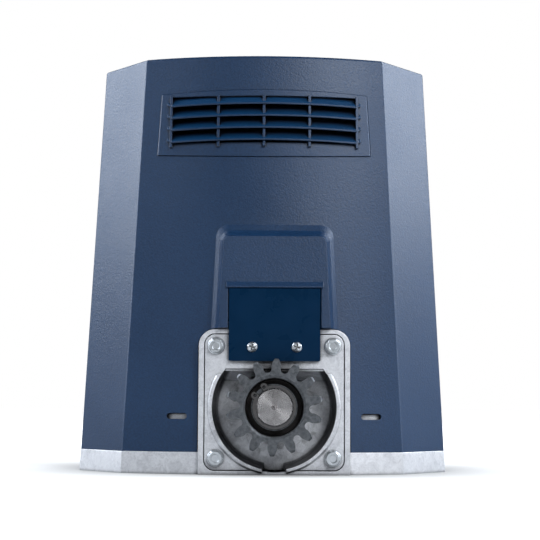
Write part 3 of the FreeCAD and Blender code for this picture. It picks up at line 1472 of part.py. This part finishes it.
def vent_grille():
    panel = skin(vent_bottom_z - 10, vent_top_z + 10, -vent_proud, vent_recess - 0.05)
    panel = panel.common(vent_prism(0))
    rim = [e for e in panel.Edges
           if e.CenterOfMass.y < front_y(e.CenterOfMass.x, e.CenterOfMass.z, -vent_bevel)]
    panel = panel.makeChamfer(vent_bevel, rim).cut(vent_aperture(0))
    inner_skin = blade_reach - blade_proud
    blades = [vent_blade(blade_first_z + k * blade_pitch) for k in range(blade_count)]
    outside = skin(vent_bottom_z - 10, vent_top_z + 30, -blade_proud - 3, vent_recess - 0.3)
    inside = vent_aperture(0).common(envelope(vent_bottom_z - 10, vent_top_z + 30, 0))
    room = outside.fuse(inside)
    blades = [blade.common(room) for blade in blades]
    layer = skin(aperture_z0 - 5, aperture_z1 + 1, -rib_proud, inner_skin)
    ribs = []
    for x in (-rib_outer_x, -rib_pitch, 0, rib_pitch, rib_outer_x):
        bar = box(x - rib_width / 2, x + rib_width / 2, -base_depth, 0, aperture_z0 - 3.0, aperture_z1 + 0.5)
        tail = skin(aperture_z0 - 5, aperture_z0, -rib_proud, 0)
        ribs.append(layer.common(bar).cut(box(-base_width, base_width, -base_depth, 0, 0, aperture_z0)).fuse(
            tail.common(bar)))
    return fuse([panel] + blades + ribs)


def cover():
    shell = envelope(seam_z, height, 0)
    upright = [e for e in shell.Edges if abs(e.BoundBox.ZLength) > height / 2]
    crown = [e for e in shell.Edges if e.BoundBox.ZMin > height - 1]
    shell = shell.makeFillet(edge_radius, upright + crown)
    inner = envelope(seam_z - 1, height - cover_wall, cover_wall)
    raised = bump(0).common(box(-base_width, base_width, -base_depth, 0, frame_top_z - 8, height))
    body = shell.fuse(raised).cut(inner)
    body = body.cut(bump(cover_wall - 0.4).common(box(-base_width, base_width, -base_depth, -base_depth / 4,
                                                     bump_low_z, bump_top_z)))

    # Opening round the cast frame, open at the bottom
    gap = frame_cover_gap
    body = body.cut(plate_y(frame_x0 - gap, frame_x1 + gap, -20, frame_top_z + gap, frame_corner + gap,
                            -base_depth, -base_depth / 4))
    # Window above the frame for the guard plate, with a drip lip over it
    half = guard_width / 2 + bump_opening_gap
    body = body.cut(box(gear_x - half, gear_x + half, -base_depth, -base_depth / 4, frame_top_z - 10, lip_z))
    lip_x = gear_x - lip_width / 2
    lip_y = bump_face_y(lip_z + lip_height)
    lip_profile = [
        V(lip_x, lip_y, lip_z + lip_height), V(lip_x, lip_y - lip_proud, lip_z + 0.8),
        V(lip_x, lip_y - lip_proud, lip_z), V(lip_x, lip_y + 2, lip_z),
        V(lip_x, lip_y + 2, lip_z + lip_height),
    ]
    lip = Part.Face(Part.makePolygon(lip_profile + lip_profile[:1])).extrude(V(lip_width, 0, 0))
    body = body.fuse(lip)

    # Slots for the latch tabs
    for side in (-1, 1):
        x = gear_x + side * slot_half_spacing
        body = body.cut(plate_y(x - slot_length / 2, x + slot_length / 2, slot_z - slot_height / 2,
                                slot_z + slot_height / 2, slot_height / 2, -base_depth,
                                -base_depth / 4))

    # Vent: recess for the panel and an opening behind the louvres
    recess = skin(vent_bottom_z - 10, vent_top_z + 10, -5, vent_recess).common(vent_prism(vent_fit))
    body = body.cut(recess).cut(vent_aperture(0.5))

    # Rear opening round the release bracket, open at the bottom
    half = bracket_half_width + gap
    body = body.cut(plate_y(gear_x - half, gear_x + half, -20, bracket_top_z + gap, 6 + gap, base_depth / 4,
                            base_depth))
    return body.removeSplitter()


# ---------------------------------------------------------------- all pieces

front_outer, front_inner = bearing(front_bearing_radius, front_bearing_bore, cup_back_y, boss_back_y)
rear_outer, rear_inner = bearing(rear_bearing_radius, rear_bearing_bore,
                                 rear_cover_back_y - rear_bearing_width, rear_cover_back_y)
worm_bearing_spans = [
    (worm_z0 - 1 - worm_bearing_width, worm_z0 - 1),
    (motor_base_z - worm_bearing_width, motor_base_z),
    (motor_top_z - 12, motor_top_z - 12 + worm_bearing_width),
]
worm_bearings = [bearing_z(worm_bearing_radius, worm_shaft_radius, z0, z1) for z0, z1 in worm_bearing_spans]

pieces = {
    "base_casting": base_casting(),
    "gearbox_flange": gearbox_flange(),
    "gearbox_housing": gearbox_housing(),
    "gearbox_rear_cover": gearbox_rear_cover(),
    "rear_cover_screws": rear_cover_screws(),
    "flange_bolts": hex_flange_bolts(),
    "oil_seal": oil_seal(),
    "front_bearing_outer_ring": front_outer,
    "front_bearing_inner_ring": front_inner,
    "rear_bearing_outer_ring": rear_outer,
    "rear_bearing_inner_ring": rear_inner,
    "rotor_bearing_outer_rings": Part.makeCompound([pair[0] for pair in worm_bearings]),
    "rotor_bearing_inner_rings": Part.makeCompound([pair[1] for pair in worm_bearings]),
    "output_shaft": output_shaft(),
    "pinion_key": pinion_key(),
    "drive_pinion": drive_pinion(),
    "circlip": circlip(),
    "clutch_keys": clutch_keys(),
    "clutch_collar": clutch_collar(),
    "worm_wheel": worm_wheel(),
    "wheel_hub": wheel_hub(),
    "worm_shaft": worm_shaft(),
    "rotor_core": rotor_core(),
    "cooling_fan": cooling_fan(),
    "stator_core": stator_core(),
    "stator_winding": stator_winding(),
    "motor_lower_bell": motor_lower_bell(),
    "motor_upper_bell": motor_upper_bell(),
    "motor_tie_bolts": motor_tie_bolts(),
    "fan_cowl": fan_cowl(),
    "guard_plate": guard_plate(),
    "guard_screws": guard_screws(),
    "limit_sensor": limit_sensor(),
    "release_lever": release_lever(),
    "release_pivot_pins": release_pivot_pins(),
    "lock_cylinder": lock_cylinder(),
    "lock_cam": lock_cam(),
    "shift_rod": shift_rod(),
    "shift_fork": shift_fork(),
    "transformer_core": transformer_core(),
    "transformer_winding": transformer_winding(),
    "transformer_bracket": transformer_bracket(),
    "run_capacitor": run_capacitor(),
    "capacitor_clamp": capacitor_clamp(),
    "board_bracket": board_bracket(),
    "control_board": control_board(),
    "board_screws": board_screws(),
    "terminal_blocks": terminal_blocks(),
    "relays": relays(),
    "controller_chip": controller_chip(),
    "cable_gland": cable_gland(),
    "levelling_screws": levelling_screws(),
    "cover": cover(),
    "vent_grille": vent_grille(),
}

os.makedirs("parts", exist_ok=True)
for name, shape in pieces.items():
    write(name, shape)
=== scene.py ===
import json
import math

import bpy
from mathutils import Euler, Matrix, Vector


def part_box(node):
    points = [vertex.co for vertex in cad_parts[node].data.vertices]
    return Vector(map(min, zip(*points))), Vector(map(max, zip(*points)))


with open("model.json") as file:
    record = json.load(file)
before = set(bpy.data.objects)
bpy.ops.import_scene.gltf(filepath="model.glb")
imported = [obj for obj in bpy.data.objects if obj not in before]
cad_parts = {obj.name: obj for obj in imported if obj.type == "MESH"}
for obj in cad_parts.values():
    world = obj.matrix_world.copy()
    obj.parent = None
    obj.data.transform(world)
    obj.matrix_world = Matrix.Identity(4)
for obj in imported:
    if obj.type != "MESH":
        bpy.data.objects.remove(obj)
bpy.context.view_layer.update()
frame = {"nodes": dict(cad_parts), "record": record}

# Sizes are in metres, powers in watts, colours in linear red, green and blue.
MICRON = 0.000001
POCKET_RADIUS = 0.0417
FLOOR_REACH = 12.0
UPPER_HOOD = (0.0, 0.0, 0.20)
LOWER_HOOD = (0.0, 0.0, 0.12)
CAMERA_PLACE = (0.0047, -1.020, 0.0466)

WHITE = (1.0, 1.0, 1.0)
COOL_LIGHT = (0.87, 0.93, 1.0)
KEY_LIGHT = (0.94, 0.97, 1.0)
ALUMINIUM_LIGHT = (0.83, 0.84, 0.875)
ALUMINIUM_DARK = (0.44, 0.445, 0.475)
# Painted shade in the corners of castings and the recesses of steel; the last colour also gives the grease
# smears on the pocket floor and the painted shade on its wall.
CORNER_SHADE = (0.022, 0.021, 0.021)
RECESS_SHADE = (0.030, 0.027, 0.026)
GREASE_AND_SHADE = (0.020, 0.019, 0.020)

# A noise node gives 0 to 1, but nearly all of its values lie between these two.
NOISE_LOW = 0.3
NOISE_HIGH = 0.7

# The mix node has sockets for numbers, vectors and colours. These are the ones for colours.
MIX_FIRST = 6
MIX_SECOND = 7
MIX_RESULT = 2


# ---------------------------------------------------------------- short calls for shader nodes

class Shading:
    """Adds nodes to the node tree of a material or of the surround."""

    def __init__(self, tree):
        self.nodes = tree.nodes
        self.links = tree.links

    def node(self, kind, **settings):
        node = self.nodes.new("ShaderNode" + kind)
        for setting, value in settings.items():
            setattr(node, setting, value)
        return node

    def plug(self, source, socket):
        """Sets a socket to a number, a vector or a colour, or links it to another node's output."""
        if isinstance(source, (int, float)):
            socket.default_value = source
        elif isinstance(source, tuple):
            lacks_alpha = socket.type == "RGBA" and len(source) == 3
            socket.default_value = source + (1.0,) if lacks_alpha else source
        else:
            self.links.new(source, socket)

    def feed(self, node, **inputs):
        """Plugs in several inputs by name, with underscores for the spaces in a name."""
        for name, source in inputs.items():
            self.plug(source, node.inputs[name.replace("_", " ")])
        return node

    def spread(self, source, low, high, to_low=0.0, to_high=1.0):
        """Maps low..high to to_low..to_high, and what lies beyond to the nearer end."""
        node = self.feed(self.node("MapRange"), Value=source, From_Min=low, From_Max=high,
                         To_Min=to_low, To_Max=to_high)
        return node.outputs["Result"]

    def across(self, noise, to_low=0.0, to_high=1.0):
        """Maps the usual range of a noise to to_low..to_high."""
        return self.spread(noise, NOISE_LOW, NOISE_HIGH, to_low, to_high)

    def maths(self, operation, first, second=0.0):
        node = self.node("Math", operation=operation)
        self.plug(first, node.inputs[0])
        self.plug(second, node.inputs[1])
        return node.outputs["Value"]

    def add(self, first, second):
        return self.maths("ADD", first, second)

    def times(self, first, second):
        return self.maths("MULTIPLY", first, second)

    def length(self, vector):
        node = self.node("VectorMath", operation="LENGTH")
        self.plug(vector, node.inputs[0])
        return node.outputs["Value"]

    def along(self, vector, axis):
        node = self.node("SeparateXYZ")
        self.plug(vector, node.inputs[0])
        return node.outputs[axis]


class Finish(Shading):
    """A procedural material: a Principled shader and the textures that feed it."""

    def __init__(self, name, **values):
        self.material = bpy.data.materials.new(name)
        self.material.use_nodes = True
        super().__init__(self.material.node_tree)
        self.surface = self.feed(self.nodes["Principled BSDF"], **values)
        self.place = self.node("TexCoord").outputs["Object"]

    def moved(self, location=(0.0, 0.0, 0.0), scale=(1.0, 1.0, 1.0)):
        """The place on the object, scaled and then shifted."""
        node = self.feed(self.node("Mapping"), Vector=self.place, Location=location, Scale=scale)
        return node.outputs["Vector"]

    def noise(self, scale, detail=2.0, roughness=0.5, distortion=0.0, at=None):
        node = self.feed(self.node("TexNoise"), Vector=at or self.place, Scale=scale, Detail=detail,
                         Roughness=roughness, Distortion=distortion)
        return node.outputs["Fac"]

    def rings(self, scale, at):
        """Fine rings round the Y axis."""
        node = self.node("TexWave", wave_type="RINGS", rings_direction="Y")
        self.feed(node, Vector=at, Scale=scale, Detail=1.0)
        return node.outputs["Fac"]

    def bands(self, scale, direction="Z", distortion=0.0):
        """Layers stacked along the given axis."""
        node = self.node("TexWave", wave_type="BANDS", bands_direction=direction)
        self.feed(node, Vector=self.place, Scale=scale, Distortion=distortion)
        return node.outputs["Fac"]

    def crevice(self, distance, open_at=0.9, shut_at=0.35):
        """1 in the open, falling to 0 where walls within the distance shut the surface in."""
        node = self.feed(self.node("AmbientOcclusion"), Distance=distance)
        return self.spread(node.outputs["AO"], shut_at, open_at)

    def facing(self, axis):
        """How far the surface faces along an axis, from -1 to 1."""
        return self.along(self.node("TexCoord").outputs["Normal"], axis)

    def radius_y(self, centre):
        """Distance from the line through the centre along Y."""
        return self.length(self.moved(location=(-centre[0], 0.0, -centre[2]), scale=(1.0, 0.0, 1.0)))

    def blend(self, factor, first, second):
        """Gives the first colour where the factor is 0, and the second where it is 1."""
        node = self.feed(self.node("Mix", data_type="RGBA"), Factor=factor)
        self.plug(first, node.inputs[MIX_FIRST])
        self.plug(second, node.inputs[MIX_SECOND])
        return node.outputs[MIX_RESULT]

    def bump(self, height, microns, strength, over=None):
        """Relief of the given depth; over is an earlier relief that this one is laid on."""
        node = self.feed(self.node("Bump"), Height=height, Distance=microns * MICRON, Strength=strength)
        if over:
            self.feed(node, Normal=over)
        return node.outputs["Normal"]

    def soft_edges(self, radius):
        """Normals that round the sharp edges off by the radius, so that they catch the light."""
        node = self.feed(self.node("Bevel", samples=6), Radius=radius)
        return node.outputs["Normal"]

    def made(self, colour, roughness, normal):
        """Plugs the textures into the shader and gives the finished material."""
        self.feed(self.surface, Base_Color=colour, Roughness=roughness, Normal=normal)
        return self.material


def middle(box):
    low, high = box
    return tuple((start + end) / 2 for start, end in zip(low, high))


# ---------------------------------------------------------------- materials

def grained_blue(name="hood_texture", recess=None):
    """Sprayed texture of the hood: fine pimples, an uneven gloss and a duller top.

    With a recess, blades turned upwards get a painted bluer colour and gaps of about that depth get painted
    shade.
    """
    look = Finish(name, Specular_IOR_Level=0.62, Specular_Tint=(0.82, 0.88, 1.0))
    pimples = look.noise(820.0, detail=3.0, roughness=0.65)
    clouds = look.noise(14.0, detail=3.0)
    tone = look.add(look.spread(pimples, 0.36, 0.64, to_high=0.7), look.across(clouds, to_high=0.3))
    blue = look.blend(tone, (0.0008, 0.0165, 0.052), (0.0034, 0.030, 0.088))
    if recess:
        # Painted light: faces turned upwards get a bluer colour.
        upwards = look.spread(look.facing("Z"), 0.15, 0.5, to_high=0.85)
        blue = look.blend(upwards, blue, (0.0001, 0.034, 0.100))
        # Painted shade: gaps as deep as the recess turn nearly black.
        in_the_open = look.crevice(recess, open_at=0.85, shut_at=0.48)
        blue = look.blend(in_the_open, (0.0002, 0.0016, 0.006), blue)
    gloss = look.add(look.across(clouds, 0.38, 0.45), look.across(pimples, -0.04, 0.04))
    weathered = look.spread(look.facing("Z"), 0.90, 0.99, to_high=0.42)
    swell = look.noise(380.0, detail=2.0)
    relief = look.bump(swell, 100, 0.4, over=look.soft_edges(0.0007))
    return look.made(
        colour=blue,
        roughness=look.add(gloss, weathered),
        normal=look.bump(pimples, 200, 0.75, over=relief))


def smooth_navy():
    """Guard plate: smoother and darker moulded plastic with faint handling marks."""
    look = Finish("guard_plastic", Specular_IOR_Level=0.13)
    smears = look.noise(60.0, detail=4.0, roughness=0.6, distortion=0.4)
    return look.made(
        colour=look.blend(look.across(smears), (0.0001, 0.0165, 0.048), (0.0006, 0.020, 0.058)),
        roughness=look.spread(smears, 0.3, 0.75, 0.24, 0.34),
        normal=look.bump(look.noise(900.0, detail=1.0), 20, 0.25))


def grease_and_wall_shade(look, centre, wall_radius):
    """Where grease smears lie on the floor between the teeth, and where painted shade darkens the wall round
    the pinion.
    """
    radius = look.radius_y(centre)
    outside_floor = look.spread(radius, wall_radius - 0.0040, wall_radius - 0.0025)
    inside_rim = look.spread(radius, wall_radius + 0.0008, wall_radius + 0.0002)
    # Painted shade: the wall round the pinion, which faces sideways, is darkened.
    sideways = look.spread(look.maths("ABSOLUTE", look.facing("Y")), 0.95, 0.6)
    wall = look.times(look.times(outside_floor, inside_rim), sideways)
    floor = look.spread(radius, wall_radius - 0.004, wall_radius - 0.012)
    smears = look.noise(95.0, detail=5.0, roughness=0.65, distortion=0.8)
    smears = look.spread(smears, 0.50, 0.68, to_high=0.75)
    return look.maths("MAXIMUM", look.times(wall, 0.92), look.times(smears, floor))


def tumbled_casting(name, light, dark, mottle, gloss=(0.40, 0.58), shade_reach=0.004, pocket=None):
    """Die-cast aluminium: cloudy mottling, small pits, a blasted skin and painted shade in its corners.

    Painted shade reaches as far from a corner as the given reach. A pocket is a centre and a radius, for
    grease smears on its floor and painted shade on its wall.
    """
    look = Finish(name, Metallic=0.8)
    clouds = look.noise(170.0, detail=6.0, roughness=0.7, distortion=0.6)
    blotch = look.noise(32.0, detail=3.0, roughness=0.6)
    grain = look.noise(900.0, detail=2.0, roughness=0.6)
    tone = look.times(look.spread(clouds, 0.36, 0.64), look.across(blotch, 0.4, 1.0))
    tone = look.add(tone, look.spread(grain, 0.35, 0.65, -0.12, 0.12))
    shade = look.blend(look.times(tone, mottle), light, dark)
    pits = look.spread(look.noise(620.0, detail=1.0), 0.70, 0.76, to_high=0.2)
    shade = look.blend(pits, shade, dark)
    # Grease smears on the pocket floor, and painted shade on the pocket wall.
    if pocket:
        shade = look.blend(grease_and_wall_shade(look, *pocket), shade, GREASE_AND_SHADE)
    # Painted shade: the colour darkens towards the corner colour where nearby walls shut the surface in.
    in_the_open = look.crevice(shade_reach, open_at=0.80, shut_at=0.25)
    skin = look.bump(grain, 80, 0.6, over=look.soft_edges(0.0006))
    return look.made(
        colour=look.blend(in_the_open, CORNER_SHADE, shade),
        roughness=look.across(clouds, *gloss),
        normal=look.bump(clouds, 120, 0.45, over=skin))


def steel(name, base, rough, streak=(1.0, 1.0, 1.0), variation=0.25, recess=None):
    """Machined or plated steel with fine uneven streaks; painted shade may darken its recesses."""
    look = Finish(name, Metallic=1.0)
    fine = look.noise(420.0, detail=4.0, roughness=0.6, distortion=0.3, at=look.moved(scale=streak))
    dark = tuple(part * (1.0 - variation) for part in base)
    tone = look.blend(look.across(fine), base, dark)
    # Painted shade: recesses within the given distance darken.
    if recess:
        tone = look.blend(look.crevice(recess, open_at=0.80, shut_at=0.25), RECESS_SHADE, tone)
    return look.made(
        colour=tone,
        roughness=look.spread(fine, 0.25, 0.75, rough * 0.85, rough * 1.2),
        normal=look.bump(fine, 40, 0.35))


def turned_end():
    """Shaft whose face keeps the fine rings of the lathe, so that its sheen fans out from the centre."""
    look = Finish("turned_shaft", Metallic=1.0, Anisotropic=0.75)
    centre = middle(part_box("output_shaft"))
    groove = look.rings(280.0, at=look.moved(location=(-centre[0], 0.0, -centre[2])))
    stain = look.noise(240.0, detail=3.0)
    tone = look.add(look.across(stain, to_high=0.6), look.times(groove, 0.4))
    round_the_axis = look.node("Tangent", direction_type="RADIAL", axis="Y")
    look.feed(look.surface, Tangent=round_the_axis.outputs["Tangent"])
    return look.made(
        colour=look.blend(tone, (0.66, 0.64, 0.64), (0.36, 0.345, 0.35)),
        roughness=look.across(stain, 0.24, 0.30),
        normal=look.bump(groove, 4, 0.2))


def plastic(name, base, rough):
    """Moulded plastic with a fine grain and slow changes of tone."""
    look = Finish(name)
    fine = look.noise(700.0, detail=3.0)
    cloud = look.noise(40.0, detail=2.0)
    lighter = tuple(part * 1.35 + 0.003 for part in base)
    return look.made(
        colour=look.blend(look.across(cloud), base, lighter),
        roughness=look.across(fine, rough * 0.85, rough * 1.15),
        normal=look.bump(fine, 50, 0.4))


def rubber():
    """Matt black rubber of the seal and the cable gland."""
    look = Finish("moulded_rubber", Specular_IOR_Level=0.35)
    fine = look.noise(500.0, detail=4.0)
    return look.made(
        colour=look.blend(look.across(fine), (0.012, 0.012, 0.012), (0.03, 0.03, 0.031)),
        roughness=look.across(fine, 0.62, 0.8),
        normal=look.bump(fine, 80, 0.5))


def laminations():
    """Varnished stack of thin sheets, its layers lying flat."""
    look = Finish("laminated_steel", Metallic=0.35)
    dirt = look.noise(90.0, detail=4.0)
    return look.made(
        colour=look.blend(look.across(dirt), (0.07, 0.075, 0.08), (0.13, 0.13, 0.135)),
        roughness=look.across(dirt, 0.38, 0.55),
        normal=look.bump(look.bands(320.0), 120, 0.6))


def winding():
    """Enamelled copper wire in tight turns."""
    look = Finish("enamelled_wire", Metallic=0.7, Coat_Weight=0.4)
    turns = look.bands(300.0, distortion=0.4)
    cross = look.noise(220.0, detail=3.0)
    return look.made(
        colour=look.blend(look.times(turns, cross), (0.20, 0.055, 0.02), (0.56, 0.20, 0.07)),
        roughness=look.across(cross, 0.28, 0.42),
        normal=look.bump(turns, 300, 0.8))


def bronze():
    """Bronze of the worm wheel, uneven in tone and sheen."""
    look = Finish("wheel_bronze", Metallic=1.0)
    fine = look.noise(300.0, detail=4.0)
    return look.made(
        colour=look.blend(look.across(fine), (0.62, 0.36, 0.13), (0.48, 0.26, 0.09)),
        roughness=look.across(fine, 0.26, 0.4),
        normal=look.bump(fine, 40, 0.4))


def board():
    """Circuit board: solder resist over faint tracks."""
    look = Finish("solder_resist", Coat_Weight=0.3)
    tracks = look.bands(140.0, "Y", distortion=1.4)
    lanes = look.bands(120.0, "Z", distortion=1.2)
    raised = look.spread(look.times(tracks, lanes), 0.25, 0.45)
    return look.made(
        colour=look.blend(raised, (0.004, 0.075, 0.030), (0.012, 0.145, 0.055)),
        roughness=look.across(look.noise(200.0), 0.25, 0.38),
        normal=look.bump(raised, 40, 0.5))


# One finish for each material slot in the record.
finishes = {
    "cover_blue": grained_blue(),
    "guard_blue": smooth_navy(),
    "cast_aluminium": tumbled_casting("die_cast", ALUMINIUM_LIGHT, ALUMINIUM_DARK, mottle=0.75),
    "zinc_steel": steel("zinc_plate", (0.80, 0.84, 0.88), rough=0.33, variation=0.15, recess=0.0025),
    "black_rubber": rubber(),
    "bearing_steel": steel("bearing_rings", (0.62, 0.63, 0.65), rough=0.2),
    "turned_steel": steel("turned_bar", (0.60, 0.60, 0.61), rough=0.26, streak=(1.0, 6.0, 1.0)),
    "pinion_steel": steel("hobbed_steel", (0.17, 0.18, 0.195), rough=0.55, variation=0.55, recess=0.011),
    "spring_steel": steel("blackened_spring", (0.16, 0.155, 0.155), rough=0.34),
    "bronze": bronze(),
    "electrical_steel": laminations(),
    "copper_winding": winding(),
    "black_plastic": plastic("black_moulding", (0.012, 0.012, 0.014), rough=0.45),
    "green_plastic": plastic("green_moulding", (0.015, 0.16, 0.045), rough=0.4),
    "board_green": board(),
    "can_aluminium": tumbled_casting("drawn_can", (0.78, 0.79, 0.81), (0.60, 0.61, 0.63), mottle=0.4,
                                     gloss=(0.25, 0.35)),
    "chrome_lock": steel("polished_lock", (0.75, 0.75, 0.76), rough=0.14, variation=0.08),
}
for part in frame["record"]["subparts"]:
    piece = frame["nodes"][part["node"]]
    piece.data.materials.clear()
    piece.data.materials.append(finishes[part["material_slot"]])

# Three pieces depart from the finish of their slot.
own_finishes = {
    "output_shaft": turned_end(),
    "gearbox_flange": tumbled_casting("greased_and_shaded_flange", ALUMINIUM_LIGHT, ALUMINIUM_DARK, mottle=0.85,
                                      shade_reach=0.010, pocket=(middle(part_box("drive_pinion")), POCKET_RADIUS)),
    "vent_grille": grained_blue("vent_texture", recess=0.012),
}
for name, finish in own_finishes.items():
    frame["nodes"][name].data.materials[0] = finish


# ---------------------------------------------------------------- stage, light and camera

def plain_floor():
    """Pale ground with real and painted soft shadows near the housing; to the camera alone it glows to white
    away from the housing.
    """
    mesh = bpy.data.meshes.new("floor")
    corners = [(x * FLOOR_REACH, y * FLOOR_REACH, 0.0) for x, y in ((-1, -1), (1, -1), (1, 1), (-1, 1))]
    mesh.from_pydata(corners, [], [(0, 1, 2, 3)])
    floor = bpy.data.objects.new("floor", mesh)
    bpy.context.scene.collection.objects.link(floor)
    look = Finish("pale_floor", Specular_IOR_Level=0.0, Emission_Color=WHITE)
    # Painted shadow: near the housing the floor's colour and its glow darken where the housing shuts it in.
    in_the_open = look.crevice(0.05, open_at=0.98, shut_at=0.45)
    pale = look.blend(look.across(look.noise(3.0)), (0.56, 0.56, 0.56), (0.54, 0.54, 0.54))
    housing_edge = 0.20
    open_ground = 0.6
    away = look.spread(look.length(look.place), housing_edge, open_ground, to_low=0.34)
    glow = look.times(away, look.spread(in_the_open, 0.0, 1.0, to_low=0.45))
    seen = look.node("LightPath").outputs["Is Camera Ray"]
    look.feed(look.surface, Roughness=0.9, Emission_Strength=look.times(seen, glow),
              Base_Color=look.blend(in_the_open, (0.26, 0.26, 0.26), pale))
    mesh.materials.append(look.material)


def softbox(name, place, target, size, watts, colour=WHITE):
    """A rectangular lamp that faces its target; size is its width and height."""
    light = bpy.data.lights.new(name, "AREA")
    light.shape = "RECTANGLE"
    light.size, light.size_y = size
    light.energy = watts
    light.color = colour
    lamp = bpy.data.objects.new(name, light)
    lamp.location = place
    lamp.rotation_euler = (Vector(target) - Vector(place)).to_track_quat("-Z", "Y").to_euler()
    bpy.context.scene.collection.objects.link(lamp)


def white_surround():
    """The camera sees plain white; the object is lit by a dim grey dome that is darker overhead."""
    world = bpy.data.worlds.new("surround")
    bpy.context.scene.world = world
    world.use_nodes = True
    world.node_tree.nodes.clear()
    sky = Shading(world.node_tree)
    white = sky.feed(sky.node("Background"), Color=WHITE)
    height = sky.along(sky.node("TexCoord").outputs["Generated"], "Z")
    strength = sky.spread(height, 0.0, 0.6, to_low=0.14, to_high=0.04)
    dome = sky.feed(sky.node("Background"), Strength=strength)
    choice = sky.feed(sky.node("MixShader"), Fac=sky.node("LightPath").outputs["Is Camera Ray"])
    sky.plug(dome.outputs[0], choice.inputs[1])
    sky.plug(white.outputs[0], choice.inputs[2])
    sky.feed(sky.node("OutputWorld"), Surface=choice.outputs[0])


def main_camera():
    """Stands about a metre in front, just above the ground, and looks slightly up."""
    camera = bpy.data.cameras.new("camera")
    camera.lens = 90.9
    camera.sensor_width = 36.0
    view = bpy.data.objects.new("camera", camera)
    level = 90.0
    upwards = 5.65
    leaning = 0.3
    pitch = Euler((math.radians(level + upwards), 0.0, 0.0)).to_matrix().to_4x4()
    roll = Matrix.Rotation(math.radians(leaning), 4, "Z")
    view.matrix_world = Matrix.Translation(CAMERA_PLACE) @ pitch @ roll
    bpy.context.scene.collection.objects.link(view)
    bpy.context.scene.camera = view


plain_floor()
softbox("side_left", (-1.2, 0.14, 0.92), UPPER_HOOD, size=(0.9, 1.1), watts=29.0, colour=COOL_LIGHT)
softbox("side_right", (1.2, 0.14, 0.92), UPPER_HOOD, size=(0.9, 1.1), watts=27.0, colour=COOL_LIGHT)
softbox("key", (1.05, -1.95, 1.35), LOWER_HOOD, size=(1.0, 0.9), watts=38.0, colour=KEY_LIGHT)
softbox("front_left", (-1.3, -2.0, 1.3), LOWER_HOOD, size=(0.9, 0.9), watts=7.5, colour=COOL_LIGHT)
softbox("rear_fill", (0.0, 2.0, 1.4), LOWER_HOOD, size=(1.6, 1.2), watts=20.0)
white_surround()
main_camera()
bpy.context.scene.view_settings.view_transform = "Standard"
bpy.context.scene.view_settings.look = "None"
